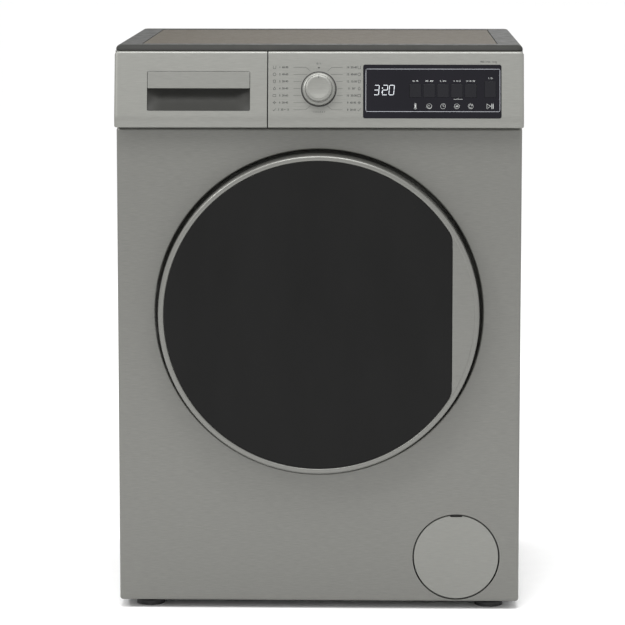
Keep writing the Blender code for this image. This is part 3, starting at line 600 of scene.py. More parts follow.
def stroke(name, points, width, place, closed=False, depth=PRINT_DEPTH):
    """A printed line of even width through (x, y) points of its place."""
    bm = bmesh.new()
    count = len(points)
    for i in range(count if closed else count - 1):
        one, two = Vector(points[i]), Vector(points[(i + 1) % count])
        along = (two - one).normalized() * (width / 2)
        across = Vector((-along.y, along.x))
        corners = [one - along + across, one - along - across, two + along - across,
                   two + along + across]
        low = [bm.verts.new((*corner, -depth / 2)) for corner in corners]
        high = [bm.verts.new((*corner, depth / 2)) for corner in corners]
        bm.faces.new(high[::-1])
        bm.faces.new(low)
        for k in range(4):
            j = (k + 1) % 4
            bm.faces.new((low[j], low[k], high[k], high[j]))
    bmesh.ops.recalc_face_normals(bm, faces=bm.faces)
    return baked(bm, name, place)


def on_face(x, v, lift=FACE_LIFT):
    """A place on the fascia's leaning face."""
    return FACE @ Matrix.Translation((x, v, lift))


# ---------------------------------------------------------------- cabinet


def face_with_holes(bm, outline, holes, height):
    """A flat face with round or shaped holes, added to a bmesh."""
    mesh = slab("face", outline, -0.5, 0.5, holes=holes)
    flat = bmesh.new()
    flat.from_mesh(mesh)
    bpy.data.meshes.remove(mesh)
    below = [vert for vert in flat.verts if vert.co.z < 0]
    bmesh.ops.delete(flat, geom=below, context="VERTS")
    for vert in flat.verts:
        vert.co.z = height
    spare = baked(flat, "spare")
    bm.from_mesh(spare)
    bpy.data.meshes.remove(spare)


def front_panel():
    """The pressed steel front: rounded border, rolled well round the door, filter opening."""
    border, roll, steps = 0.0045, 0.0022, 160
    face, floor = -FRONT_Y, -FLOOR_Y
    centre, half = (BASE_Z + PANEL_TOP) / 2, (PANEL_TOP - BASE_Z) / 2
    well_z = AXIS_Z - centre

    def border_loop(inset, height):
        return flat_loop(centred(CABINET_HALF - inset, half - inset, border - inset * 0.5, 6),
                         height)

    bm = bmesh.new()
    loft(bm, [border_loop(inset, face - drop) for inset, drop in quarter(border)]
         + [border_loop(0, -SEAM_Y)])
    well = [(DISH_R + inset, face - drop) for inset, drop in quarter(roll)]
    well += [(0.2402, floor + 0.0035), (0.2394, floor + 0.0014), (0.2372, floor + 0.0002),
             (0.2345, floor), (LIP_R + 0.0040, floor), (LIP_R + 0.0018, floor + 0.0008),
             (LIP_R + 0.0010, floor + 0.0024), (LIP_R + 0.0010, floor + 0.0055)]
    loft(bm, [flat_loop(moved(ring_points(radius, steps), 0, well_z), height)
              for radius, height in well])
    face_with_holes(bm, centred(CABINET_HALF - border, half - border, border / 2, 6),
                    [moved(ring_points(DISH_R + roll, steps), 0, well_z)], face)
    weld(bm, 2e-5)
    mesh = to_mesh(bm, "front_panel_steel", Matrix.Translation((0, 0, centre)) @ FRONTAL)
    opening = rod_y(FILTER_OPENING_R, FRONT_Y - 0.01, FRONT_Y + 0.01, 96, FILTER_X, FILTER_Z)
    slot = block("slot", (0.1930, FLOOR_Y - 0.004, AXIS_Z - 0.0065),
                 (0.2150, FLOOR_Y + 0.004, AXIS_Z + 0.0065))
    piece("front_panel_steel", cut(mesh, opening, slot, sheet=(0.0009, -1)), PAINT, "cabinet",
          ["front_panel"], 40)


def filter_inside():
    """The dark moulded pocket round the pump filter."""
    mesh = turned_y("filter_pocket", [
        (0.0640, FRONT_Y + 0.0075), (0.0640, FRONT_Y + 0.0085), (0.0410, FRONT_Y + 0.0140),
        (0.0405, FRONT_Y + 0.0290), (0.0401, FRONT_Y + 0.0290), (0.0401, FRONT_Y + 0.0132),
        (0.0636, FRONT_Y + 0.0075)], 64, FILTER_X, FILTER_Z)
    piece("filter_pocket", mesh, DARK, "cabinet")


def cabinet_wrap():
    """Side and rear walls in one bent sheet, with a stamped relief on both sides."""
    corner, front = 0.008, SEAM_Y + 0.0005
    bm = bmesh.new()
    path = [(CABINET_HALF, front),
            *arc((CABINET_HALF - corner, REAR_Y - corner), corner, 0, 90, 8)]
    path += [(-x, y) for x, y in reversed(path)]
    low, high = [[bm.verts.new((x, y, z)) for x, y in path] for z in (BASE_Z, FASCIA_TOP)]
    for i in range(1, len(path) - 2):
        bm.faces.new((low[i], low[i + 1], high[i + 1], high[i]))
    for side in (-1, 1):
        stamped_side(bm, side, front, REAR_Y - corner)
    holes = [slab("opening", rounded_rect(-0.150, 0.150, 0.260, 0.580, 0.010), -0.285, -0.250,
                  FRONTAL),
             rod_y(0.0150, 0.25, 0.29, 32, INLET_X, INLET_Z),
             rod_y(0.0105, 0.25, 0.29, 32, GLAND_X, GLAND_Z)]
    mesh = cut(to_mesh(bm, "cabinet_walls"), *holes, sheet=(0.0010, 0.0))
    piece("cabinet_walls", mesh, PAINT, "cabinet", ["cabinet_wrap"], 30)


def stamped_side(bm, side, front, rear):
    """One side wall with a shallow pressed field that has sloping, rounded borders."""
    depth = 0.0016
    loops = [[(side * CABINET_HALF, y, z)
              for y, z in rounded_rect(front, rear, BASE_Z, FASCIA_TOP, 0.0005, 6)]]
    for inset, share in ((0.0, 0.0), (0.003, 0.15), (0.006, 0.5), (0.009, 0.85), (0.012, 1.0)):
        outline = rounded_rect(front + 0.060 + inset, rear - 0.050 - inset,
                               BASE_Z + 0.085 + inset, FASCIA_TOP - 0.100 - inset,
                               0.040 - inset, 6)
        loops.append([(side * (CABINET_HALF - depth * share), y, z) for y, z in outline])
    bm.faces.new(loft(bm, loops)[-1])


def rear_cover():
    """The pressed access cover: flat flange, raised border, sunken field and screws."""
    low_y, rim_y, top_y, centre = 0.2691, 0.2702, 0.27445, 0.420
    stations = ((0.1750, 0.035, low_y), (0.1750, 0.035, rim_y - 0.0003), (0.1747, 0.035, rim_y),
                (0.1555, 0.020, rim_y), (0.1548, 0.0195, rim_y + 0.0004),
                (0.1530, 0.018, top_y - 0.0008), (0.1518, 0.017, top_y - 0.0001),
                (0.1500, 0.016, top_y), (0.1180, 0.030, top_y), (0.1170, 0.0295, top_y - 0.0003),
                (0.1145, 0.028, top_y - 0.0017), (0.1135, 0.0275, top_y - 0.0020))
    mesh = solid("rear_cover_pressing", [
        [(x, y, z + centre) for x, z in centred(half, half + 0.0100, radius)]
        for half, radius, y in stations], caps=(-1,))
    piece("rear_cover_pressing", mesh, PAINT, "cabinet", ["rear_cover"], 30,
          0.0008)
    spots = [(x, z) for x in (-0.165, 0.165) for z in (0.262, 0.420, 0.578)]
    spots += [(x, z) for x in (-0.055, 0.055) for z in (0.245, 0.595)]
    screws("rear_cover_screws", spots, rim_y, 0.0036)


def screws(name, spots, y, radius, height=0.0022):
    """Cross-slotted domed screw heads on the rear, as one mesh."""
    heads = []
    for x, z in spots:
        head = turned("head", [(0, -0.0004), (radius, -0.0004), (radius, 0.0004),
                               (radius * 0.86, height * 0.70), (radius * 0.5, height * 0.95),
                               (0, height)], 24)
        slots = [block("slot", (-a, -b, height * 0.45), (a, b, height * 2))
                 for a, b in ((radius * 0.62, 0.00035), (0.00035, radius * 0.62))]
        head = cut(head, *slots)
        head.transform(Matrix.Translation((x, y, z)) @ Matrix.Rotation(-math.pi / 2, 4, "X"))
        heads.append(head)
    piece(name, merged(name, *heads), SCREW, "cabinet")


def cabinet_screws():
    spots = [(x, z) for x in (-0.280, 0.280) for z in (0.035, 0.300, 0.560)]
    spots += [(x, 0.8230) for x in (-0.245, -0.080, 0.080, 0.245)]
    screws("cabinet_screws", spots, REAR_Y, 0.0034)


def worktop():
    """The moulded worktop frame and the board set into it."""
    edge, seat, shelf = 0.8366, 0.8286, 0.8260
    left, right, front, rear = -0.2625, 0.2625, -0.2075, 0.2325

    def rim(inset, height):
        return flat_loop(rounded_rect(-CABINET_HALF + inset, CABINET_HALF - inset,
                                      -0.2440 + inset, REAR_Y - inset, 0.0095 - inset * 0.6),
                         height)

    def mouth(grow, corner, height):
        return flat_loop(rounded_rect(left - grow, right + grow, front - grow, rear + grow,
                                      corner), height)

    under = rounded_rect(-0.2940, 0.2940, -0.2150, 0.2640, 0.0060)
    inner = rounded_rect(-0.2560, 0.2560, -0.2010, 0.2260, 0.0015)
    loops = [flat_loop(under, shelf), flat_loop(under, edge), rim(0.0008, edge),
             rim(0.0, edge + 0.0008)]
    loops += [rim(inset, HEIGHT - drop) for inset, drop in reversed(quarter(0.0070))]
    loops += [rim(0.0085, HEIGHT), mouth(0.0010, 0.0022, HEIGHT),
              mouth(0.0003, 0.0018, HEIGHT - 0.0003), mouth(0, 0.0015, HEIGHT - 0.0010),
              mouth(0, 0.0015, seat), flat_loop(inner, seat), flat_loop(inner, shelf)]
    mesh = solid("worktop_frame_moulding", [*loops, loops[0]], caps=())
    piece("worktop_frame_moulding", mesh, FRAME_GREY, "cabinet", ["worktop_frame"],
          35)
    panel = block("board", (left + 0.0005, front + 0.0005, seat + 0.0005),
                  (right - 0.0005, rear - 0.0005, HEIGHT - 0.0006), edge=0.0009)
    piece("worktop_board_panel", panel, BOARD, "cabinet", ["worktop_board"])


def feet():
    """Levelling feet: ribbed pad, lock nut and threaded stem."""
    pad_profile = soft_profile([
        (0, 0.0), (0.0060, 0.0), (0.0066, 0.0008), (0.0110, 0.0008), (0.0116, 0.0),
        (0.0160, 0.0), (0.0166, 0.0008), (0.0185, 0.0008), (0.0190, 0.0), (0.0210, 0.0),
        (0.0210, 0.0068), (0.0198, 0.0075), (0.0120, 0.0084), (0.0098, 0.0090),
        (0, 0.0090)], 0.0005, 2)
    root, crest, start, pitch, turns = 0.00435, 0.0050, 0.0125, 0.00125, 25
    thread = [(0, 0.0120)]
    for base in (start + i * pitch for i in range(turns)):
        thread += [(root, base), (crest, base + pitch * 0.45), (crest, base + pitch * 0.55)]
    thread += [(root, start + turns * pitch), (0.0040, 0.0450), (0, 0.0450)]
    for end, y in (("front", -0.200), ("rear", 0.225)):
        for side, x in (("left", -0.255), ("right", 0.255)):
            node, body = f"foot_{end}_{side}", f"foot_{end[0]}{side[0]}"
            place = Matrix.Translation((x, y, 0))
            nut = slab("nut", ring_points(0.0100, 6), 0.0088, start, place, edge=0.0004)
            pad = turned(f"{node}_pad", pad_profile, 48, place)
            piece(f"{node}_pad", pad, RUBBER, body, [node])
            piece(f"{node}_screw", merged("screw", nut, turned("stem", thread, 24, place)),
                  ZINC, body)


# ---------------------------------------------------------------- control panel


def fascia_section(rear, inset=0.0):
    """The fascia's section in YZ: rolled top, leaning face, soft crease and curved underside."""
    top, low = FASCIA_TOP - inset, FASCIA_BOTTOM + inset
    lean = Vector((FASCIA_TOP_Y - CREASE_Y, FASCIA_TOP - CREASE_Z)).normalized()
    crease = Vector((CREASE_Y + inset, CREASE_Z))
    upper = crease + lean * 0.0045
    lower = crease + Vector((0.0003, -0.0045))
    points = [(rear, top), (FASCIA_TOP_Y + 0.0036 + inset, top)]
    corner = Vector((FASCIA_TOP_Y + inset + 0.0001, top))
    start, end = Vector(points[-1]), corner - lean * 0.0040
    points += bent(start, corner, end, 6)[1:]
    points += bent(upper, crease, lower, 6)
    foot = Vector((CREASE_Y + 0.0011 + inset, low + 0.0030))
    heel = Vector((CREASE_Y + 0.0045 + inset, low))
    points += bent(foot, Vector((foot.x + 0.0002, low)), heel, 5)
    points.append((rear, low))
    return points


def fascia_body(name, left, right, rear, round_left, round_right):
    """The moulding between two ends, either of which may be rounded over."""
    ends = [(reach, END_ROUND - math.sqrt(END_ROUND ** 2 - (END_ROUND - reach) ** 2))
            for reach in (0.0, 0.0003, 0.0008, 0.0016, 0.0028, 0.0042, END_ROUND)]
    square = [(0.0, 0.0006), (0.0006, 0.0)]
    stations = [(left + reach, inset) for reach, inset in (ends if round_left else square)]
    stations += [(right - reach, inset)
                 for reach, inset in reversed(ends if round_right else square)]
    return solid(name, [[(x, y, z) for y, z in shrunk(fascia_section(rear), inset)]
                        for x, inset in stations])


def shrunk(section, inset):
    """The section with its front, top and bottom drawn in, and its rear kept."""
    rear = section[0][0]
    low, high = section[-1][1], section[0][1]
    result = []
    for y, z in section:
        forward = min(1.0, max(0.0, (rear - y) / 0.008))
        z = min(max(z, low + inset * 0.35), high - inset)
        result.append((y + inset * 0.45 * forward, z))
    return result


def control_fascia():
    """The fixed part of the fascia, with the frame round the drawer and the knob's bezel."""
    left, right, low, high = WINDOW_BOX
    skin, fit, beam = 0.0025, 0.0004, SEAM_Y - 0.0125
    start, end = -FASCIA_HALF + 0.0004, FASCIA_LEFT + 0.0008
    body = fascia_body("fascia", FASCIA_LEFT, FASCIA_HALF, SEAM_Y, False, True)
    chamber = slab("chamber", fascia_section(SEAM_Y + 0.01, skin), FASCIA_LEFT + skin,
                   FASCIA_HALF - skin, SIDEWAYS)
    window = slab("window", rounded_rect(left - fit, right + fit, low - fit, high + fit, 0.0030),
                  -0.012, 0.010, FACE)
    body = cut(body, chamber, window, rod(0.0045, -0.02, 0.01, 32, KNOB_PLACE))
    rails = [slab("rail", [(SEAM_Y, top), (beam, top), (beam, foot), (SEAM_Y, foot)], start, end,
                  SIDEWAYS) for top, foot in ((0.8360, 0.8190), (0.7350, 0.7245))]
    posts = [block("post", (x0, beam, 0.7340), (x1, SEAM_Y, 0.8200))
             for x0, x1 in ((start, -0.2585), (-0.1015, end))]
    mesh = merged("control_fascia_moulding", body, *rails, *posts)
    piece("control_fascia_moulding", mesh, SILVER, "cabinet", ["control_fascia"],
          30)
    bezel = turned("recess", [(0.0249, -0.0002), (0.0262, -0.0002), (0.0262, 0.00012),
                             (0.0258, 0.00022), (0.0252, 0.00022), (0.0249, 0.00005)], 96,
                   KNOB_PLACE)
    piece("knob_bezel", bezel, INK, "cabinet")


def knob():
    """Programme knob: a bright flared skirt, a fluted cap with a shallow dish and a pointer."""
    skirt, cap, height, flutes, sink = 0.0243, 0.0203, 0.0165, 60, 0.00022
    base = turned("skirt", [
        (0, -0.012), (0.0032, -0.012), (0.0032, 0.0011), (skirt - 0.0010, 0.0011),
        (skirt - 0.0003, 0.0014), (skirt, 0.0021), (skirt - 0.0001, 0.0034),
        (skirt - 0.0007, 0.0047), (skirt - 0.0018, 0.0056), (cap + 0.0006, 0.0061),
        (cap - 0.0002, 0.0063), (0, 0.0063)], 128, KNOB_PLACE)
    piece("knob_skirt", base, SILVER, "knob", ["program_knob"], 50)
    rims = []
    for radius, z, share in (
            (cap - 0.0001, 0.0063, 0.0), (cap, 0.0072, 0.6), (cap - 0.0002, 0.0090, 1.0),
            (cap - 0.0003, height - 0.0034, 1.0), (cap - 0.0006, height - 0.0020, 0.4),
            (cap - 0.0014, height - 0.0010, 0.0), (cap - 0.0030, height - 0.0002, 0.0),
            (cap - 0.0052, height - 0.0001, 0.0), (cap - 0.0070, height - 0.0007, 0.0),
            (0.0060, height - 0.0011, 0.0), (0.0020, height - 0.0012, 0.0)):
        rim = []
        for angle in (2 * math.pi * i / (flutes * 4) for i in range(flutes * 4)):
            reach = radius - sink * share * (0.5 + 0.5 * math.cos(flutes * angle))
            rim.append((reach * math.cos(angle), reach * math.sin(angle), z))
        rims.append(rim)
    piece("knob_cap", solid("knob_cap", rims, KNOB_PLACE, (-1, 0)), SILVER, "knob", sharp=40)
    tick = slab("pointer", rounded_rect(-0.00045, 0.00045, 0.0142, 0.0176, 0.00040, 3),
                height - 0.0003, height - 0.00002, KNOB_PLACE)
    piece("knob_pointer", tick, INK, "knob")
    # A thin dark ring laid on the face round the skirt: a painted shadow of the knob
    gap = turned("gap", [(skirt - 0.0040, 0.0001), (skirt + 0.0011, 0.0001),
                         (skirt + 0.0011, 0.0003), (skirt - 0.0040, 0.0003)], 128, KNOB_PLACE)
    piece("knob_painted_shadow", gap, RECESS_SHADE, "cabinet")


def display():
    """The black control window with its printed border, digits, labels and symbols."""
    slack = 0.0003
    holes = [rounded_rect(x0 - slack, x1 + slack, v0 - slack, v1 + slack, 0.0009, 4)
             for x0, x1, v0, v1, _ in KEYS]
    window = slab("display_glass", rounded_rect(*WINDOW_BOX, 0.0026), -0.0020, 0.0003, FACE,
                  holes)
    piece("display_glass", window, DISPLAY, "cabinet", ["display_window"])
    for *box, body in KEYS:
        node = "start_key" if body == "key_start" else body.replace("key", "option_key")
        key = slab(f"{node}_cap", rounded_rect(*box, 0.0008, 4), -0.0070, 0.00055, FACE,
                   edge=0.00030)
        piece(f"{node}_cap", key, KEY_BLACK, body, [node], 50)
    border = rounded_rect(0.0688, 0.2645, 0.0106, 0.0733, 0.0016, 4)
    piece("display_border", stroke("display_border", border, 0.00055, on_face(0, 0, GLASS_LIFT),
                                   closed=True), FRAME_INK, "cabinet")
    digits()
    symbols()


def digits():
    """The remaining time in seven-segment digits, each bar pointed at both ends."""
    width, height, slant, thick, low = 0.0070, 0.0142, 0.0012, 0.0007, 0.0352
    half = height / 2
    bars = {"a": ((0, height), (width, height)), "g": ((0, half), (width, half)),
            "d": ((0, 0), (width, 0)), "f": ((0, half), (0, height)), "e": ((0, 0), (0, half)),
            "b": ((width, half), (width, height)), "c": ((width, 0), (width, half))}
    meshes = []
    for digit, x in (("3", 0.0838), ("2", 0.0962), ("0", 0.1058)):
        for name in SEGMENTS[digit]:
            one, two = (Vector((x - width / 2 + px + py / height * slant, low + py))
                        for px, py in bars[name])
            along = (two - one).normalized()
            across = Vector((-along.y, along.x)) * thick / 2
            gap, tip = along * 0.00030, along * thick / 2
            outline = [one + gap, one + gap + tip + across, two - gap - tip + across, two - gap,
                       two - gap - tip - across, one + gap + tip - across]
            meshes.append(slab("segment", [tuple(point) for point in outline], -0.00003,
                               0.00004, on_face(0, 0, GLASS_LIFT)))
    for v in (low + 0.0040, low + 0.0100):
        meshes.append(rod(0.0008, -0.00002, 0.00004, 16,
                          on_face(0.0922 + (v - low) / height * slant, v, GLASS_LIFT)))
    piece("display_digits", merged("display_digits", *meshes), LIT, "cabinet")


def symbols():
    """The row of symbols under the keys, and the short labels above them."""
    row, bracket = 0.0185, 0.0288
    columns = [KEY_FIRST_X + i * KEY_PITCH for i in range(5)]
    marks = []

    def add(x, outline, width=0.00036, closed=False, rise=row):
        marks.append(stroke("mark", moved(outline, x, rise), width, on_face(0, 0, GLASS_LIFT),
                            closed))

    add(columns[0], [(-0.0009, -0.0014), (-0.0009, 0.0040), (0.0009, 0.0040),
                     (0.0009, -0.0014)])
    add(columns[0], ring_points(0.0018, 20), closed=True, rise=row - 0.0028)
    add(columns[0], [(0, -0.0028), (0, 0.0022)], 0.00070)
    spiral = [((0.0004 + 0.00052 * a) * math.cos(a), (0.0004 + 0.00052 * a) * math.sin(a))
              for a in (0.45 * i for i in range(15))]
    for x, lines in zip(columns[1:], (
            [spiral], [[(0, 0.0026), (0, 0), (0.0020, 0)]],
            [[(-0.0018, -0.0016), (0.0018, 0.0016)], [(-0.0018, 0.0016), (0.0018, -0.0016)],
             [(-0.0024, 0), (0.0024, 0)]],
            [arc((0, 0), 0.0024, 20, 300, 16),
             [(0.0022, 0.0022), (0.0023, 0.0008), (0.0009, 0.0007)]])):
        add(x, ring_points(0.0037, 28), closed=True)
        for line in lines:
            add(x, line)
    x = START_X - 0.0022
    add(x, [(-0.0026, -0.0036), (-0.0026, 0.0036), (0.0030, 0), (-0.0026, -0.0036)])
    for offset in (0.0046, 0.0066):
        add(x, [(offset, -0.0034), (offset, 0.0034)], 0.0007)
    for outline in ([(-0.0050, 0), (0.0085, 0)], [(0.0018, 0), (0.0018, 0.0014)]):
        add(columns[3], outline, 0.00035, rise=bracket)
    piece("display_symbols", merged("display_symbols", *marks), PRINT, "cabinet")
    words = ("20 - 90", "400 - 800", "0 - 24 h", "+1 +2 +3", "0 / 15 / 30")
    labels = [text_mesh("label", word, 0.0021, on_face(x, 0.0556, GLASS_LIFT))
              for x, word in zip(columns, words)]
    labels.append(text_mesh("label", "1 / 0", 0.0024, on_face(START_X, 0.0598, GLASS_LIFT)))
    piece("display_labels", merged("display_labels", *labels), PRINT, "cabinet")


def programme_scale():
    """Programme numbers, temperatures, symbols and leader lines on both sides of the knob."""
    marks, words = [], []
    for side, programmes, middle, outer in zip((-1, 1), PROGRAMMES, (-0.0515, 0.0480),
                                               (0.0370, 0.0345)):
        for i, label in enumerate(programmes):
            v = 0.0757 - 0.01043 * i
            rise = v - KNOB_V
            inner = math.sqrt(max(0.0275 ** 2 - rise ** 2, 0))
            line = [(side * outer, v), (side * max(inner, 0.0175), v)]
            if abs(rise) > 0.026:
                line = [(side * outer, v), (side * 0.0190, v),
                        (side * 0.0125, v - math.copysign(0.0055, rise))]
            marks.append(stroke("leader", line, 0.00034, on_face(0, 0)))
            words.append(text_mesh("label", label, 0.0028, on_face(middle, v), 0.00010))
            marks.append(small_symbol(side * 0.0620 - 0.0030, v, i + 7 * (side > 0)))
    for label, height, x, v in (("0 / 1", 0.0027, 0, 0.0812), ("1 2 3 4 5 6 7", 0.0025, 0, 0.0098),
                                ("800 / min   6 kg", 0.0027, 0.2480, 0.0842)):
        words.append(text_mesh("label", label, height, on_face(x, v)))
    marks.append(stroke("dot", arc((0, 0.0752), 0.0006, 0, 360, 12)[:-1], 0.0009, on_face(0, 0),
                        closed=True))
    piece("programme_numbers", merged("programme_numbers", *words), INK, "cabinet")
    piece("programme_marks", merged("programme_marks", *marks), INK, "cabinet")


def small_symbol(x, v, kind):
    """A programme's little pictogram: tub, ring, shirt, drop, box, star or tick in turn."""
    size = 0.0021
    shapes = [
        [(-1, 1), (-0.8, -1), (0.8, -1), (1, 1)],
        ring_points(1, 12),
        [(-1, 0.6), (-0.4, 1), (0.4, 1), (1, 0.6), (0.6, 0), (0.6, -1), (-0.6, -1), (-0.6, 0)],
        [(0, 1.1), (0.8, -0.2), (0.5, -0.9), (-0.5, -0.9), (-0.8, -0.2)],
        [(-1, -0.8), (-1, 0.8), (1, 0.8), (1, -0.8)],
        [(0, 1), (0.3, 0.3), (1, 0), (0.3, -0.3), (0, -1), (-0.3, -0.3), (-1, 0), (-0.3, 0.3)],
        [(-1, -0.2), (-0.4, -0.8), (1, 0.8)],
    ]
    kind %= len(shapes)
    outline = [(x + px * size, v + py * size) for px, py in shapes[kind]]
    return stroke("symbol", outline, 0.00055, on_face(0, 0), closed=kind not in (0, 6))


# ---------------------------------------------------------------- detergent drawer


def drawer():
    """The drawer front with its finger recess and handle plate, and the tray behind."""
    left, right, low, high = POCKET
    body = fascia_body("drawer", -FASCIA_HALF, DRAWER_RIGHT, -0.2350, True, False)
    pocket = slab("pocket", rounded_rect(left, right, low, high, 0.0022, 4), 0.2400, 0.30, FRONTAL)
    piece("drawer_front_moulding", cut(body, pocket), SILVER, "drawer", ["drawer_front"],
          30)
    liner(left, right, low)
    # The plate is the fascia's silver lacquer, darkened as painted shade
    plate = slab("plate", rounded_rect(left + 0.0006, right - 0.0006, *PLATE_V, 0.0012, 4),
                 -0.0032, -0.0002, FACE, edge=0.0005)
    piece("drawer_handle_panel", plate, SHADED_PLATE, "drawer", ["drawer_handle_plate"],
          50)
    tray()


def liner(left, right, low):
    """The finger recess: a scoop that deepens upwards behind the plate, with ramped ends."""
    columns, rows, ramp, deepest = 40, 16, 0.021, -0.2405
    top = CREASE_Z + (PLATE_V[0] + 0.010) * math.cos(TILT)

    def surface(z):
        return CREASE_Y + (z - CREASE_Z) * math.tan(TILT) + 0.0006

    loops = []
    for i in range(columns + 1):
        x = left + 0.0003 + (right - left - 0.0006) * i / columns
        reach = min(1.0, min(x - left, right - x) / ramp)
        loop = []
        for k in range(rows + 1):
            z = low + 0.0003 + (top - low) * k / rows
            rise = math.sin(min(1.0, k / rows * 1.25) * math.pi / 2)
            depth = (deepest - surface(z)) * rise * (0.30 + 0.70 * reach ** 0.8)
            loop.append((x, surface(z) + depth, z))
        loops.append(loop)
    mesh = solid("drawer_recess", loops, caps=(), closed=False)
    for x in (left + 0.0002, right - 0.0002):
        outline = [(surface(low), low), (surface(top), top), (deepest, top), (deepest, low)]
        mesh = merged("drawer_recess", mesh,
                      slab("end", outline, x - 0.0001, x + 0.0001, SIDEWAYS))
    # The scoop's near-black finish is painted shade inside the recess
    piece("drawer_recess", mesh, RECESS_SHADE, "drawer", sharp=60)


def tray():
    """The dispenser tray: three compartments, a siphon with a rib, numbers and rails."""
    wall, low_y, high_y = 0.0020, -0.2345, 0.0700
    (left, right), (base, top) = TRAY_X, TRAY_Z
    floor = base + wall
    splits = (left + wall, -0.1980, -0.1500, right - wall)
    hollows = []
    for i, start in enumerate((low_y + wall, low_y + wall, -0.1400)):
        x0 = splits[i] + (wall / 2 if i else 0)
        x1 = splits[i + 1] - (wall / 2 if i < 2 else 0)
        hollows.append(slab("hollow", rounded_rect(x0, x1, start, high_y - wall, 0.0045, 6),
                            floor, top + 0.01))
    outer = block("tray", (left, low_y, base), (right, high_y, top), edge=0.0018)
    piece("drawer_tray_moulding", cut(outer, *hollows, soften=0.0004), WHITE, "drawer",
          ["drawer_tray"], 35)
    siphon = turned("siphon", soft_profile([
        (0, 0), (0.0095, 0), (0.0095, 0.0500), (0.0080, 0.0560), (0, 0.0560)], 0.0012), 40,
        Matrix.Translation((-0.1280, 0.0200, floor + 0.0002)))
    fin = block("fin", (-0.1282 - 0.0150, 0.0192, floor + 0.001),
                (-0.1278 + 0.0150, 0.0208, floor + 0.036), edge=0.0003)
    cap = slab("cap", rounded_rect(-0.1450, -0.1110, 0.0020, 0.0400, 0.006, 6), floor + 0.0540,
               floor + 0.0562, edge=0.0006)
    piece("softener_siphon", merged("softener_siphon", siphon, cap, fin), SIPHON, "drawer")
    marks = [text_mesh("mark", word, 0.011, Matrix.Translation((x, -0.190, floor)), 0.0006)
             for word, x in (("2", -0.2260), ("1", -0.1740))]
    rails = [block("rail", (x - 0.0006, -0.2300, 0.7640), (x + 0.0006, 0.0660, 0.7700),
                   edge=0.0003) for x in (left - 0.0004, right + 0.0004)]
    piece("drawer_rails", merged("drawer_rails", *marks, *rails), WHITE, "drawer")


# ---------------------------------------------------------------- door


def window_outline(grow=0.0, count=120):
    """A disc with a straight right-hand edge and filleted corners."""
    radius, flat, fillet = WINDOW_R + grow, WINDOW_FLAT + grow, WINDOW_FILLET + grow
    x = flat - fillet
    y = math.sqrt((radius - fillet) ** 2 - x ** 2)
    corner = math.degrees(math.atan2(y, x))
    rim = arc((0, 0), radius, corner, 360 - corner, count)
    upper = arc((x, y), fillet, 0, corner, 12)[:-1]
    lower = arc((x, -y), fillet, -corner, 0, 12)[1:]
    return upper + rim + lower


def door():
    """The outer ring with its rolled crown, the grip round the window, and the window."""
    wall, crown_r, roll = RING_R - 0.0027, 0.2326, 0.0039
    crown = [(0.2284, -0.2747), (0.2285, FACE_Y + 0.0016), (0.2288, FACE_Y + 0.0008),
             (0.2294, FACE_Y + 0.0003), (0.2306, FACE_Y), (crown_r, FACE_Y + 0.0001)]
    crown += [(crown_r + roll * math.sin(a), FACE_Y + 0.0040 - roll * math.cos(a))
              for a in (math.pi / 2 * i / 8 for i in range(1, 9))]
    profile = [(RING_R - 0.0006, -0.2320), (RING_R, -0.2330), *reversed(crown),
               (0.2195, -0.2743), (0.2195, -0.2722), (wall, -0.2722), (wall, -0.2320)]
    ring = cut(turned_y("door_ring_moulding", profile, 192), hinge_space())
    grip = slab("grip", arc((0, 0), 0.2291, -62, 62, 60) + [(0.060, 0.205), (0.060, -0.205)],
                0.2738, 0.2779, AXIS, edge=0.0004)
    hollow = slab("hollow", window_outline(0.0006), 0.26, 0.29, AXIS)
    grip = cut(grip, hollow, soften=0.0006, segments=3)
    piece("door_ring_moulding", ring, DOOR_SILVER, "door", ["door_ring"], 35)
    piece("door_grip", grip, DOOR_SILVER, "door", sharp=40)
    window = slab("window", window_outline(), 0.2750, 0.27745, AXIS, edge=0.0006)
    piece("door_window_panel", window, TINTED, "door", ["door_window"], 50)
    inner_frame()
    glass()


def hinge_space():
    """The room that the fixed hinge lugs need inside the door as it swings."""
    return block("hinge_space", (-0.2500, -0.2733, AXIS_Z - 0.050),
                 (-0.1950, -0.2200, AXIS_Z + 0.050))


def inner_frame():
    """The rear shell of the door: a dished collar with ribs, screws and the hook's slot."""
    shell = turned_y("shell", soft_profile([
        (0.2330, -0.2290), (0.2060, -0.2290), (0.2040, -0.2281), (0.1820, -0.2281),
        (0.1800, -0.2290), (0.1580, -0.2290), (0.1580, -0.2318), (0.2215, -0.2318),
        (0.2215, -0.2715), (0.2238, -0.2715), (0.2238, -0.2318), (0.2330, -0.2318)], 0.0006, 3),
        128)
    slot = block("slot", (0.1985, -0.24, AXIS_Z - 0.0055), (0.2120, -0.22, AXIS_Z + 0.0055),
                 edge=0.001)
    piece("door_inner_shell", cut(shell, slot, hinge_space()), DARK, "door",
          ["door_inner_frame"], 35)
    heads = []
    for angle in (math.radians(18 + 36 * i) for i in range(10)):
        x, z = 0.2185 * math.cos(angle), AXIS_Z + 0.2185 * math.sin(angle)
        beside_hinge = x < -0.180 and abs(z - AXIS_Z) < 0.080
        if not beside_hinge:
            heads.append(turned_y("head", soft_profile([
                (0, -0.2292), (0.0036, -0.2292), (0.0036, -0.2282), (0.0026, -0.2274),
                (0.0011, -0.2274), (0.0011, -0.2280), (0, -0.2280)], 0.0003, 2), 24, x, z))
    piece("door_screws", merged("door_screws", *heads), SCREW, "door")


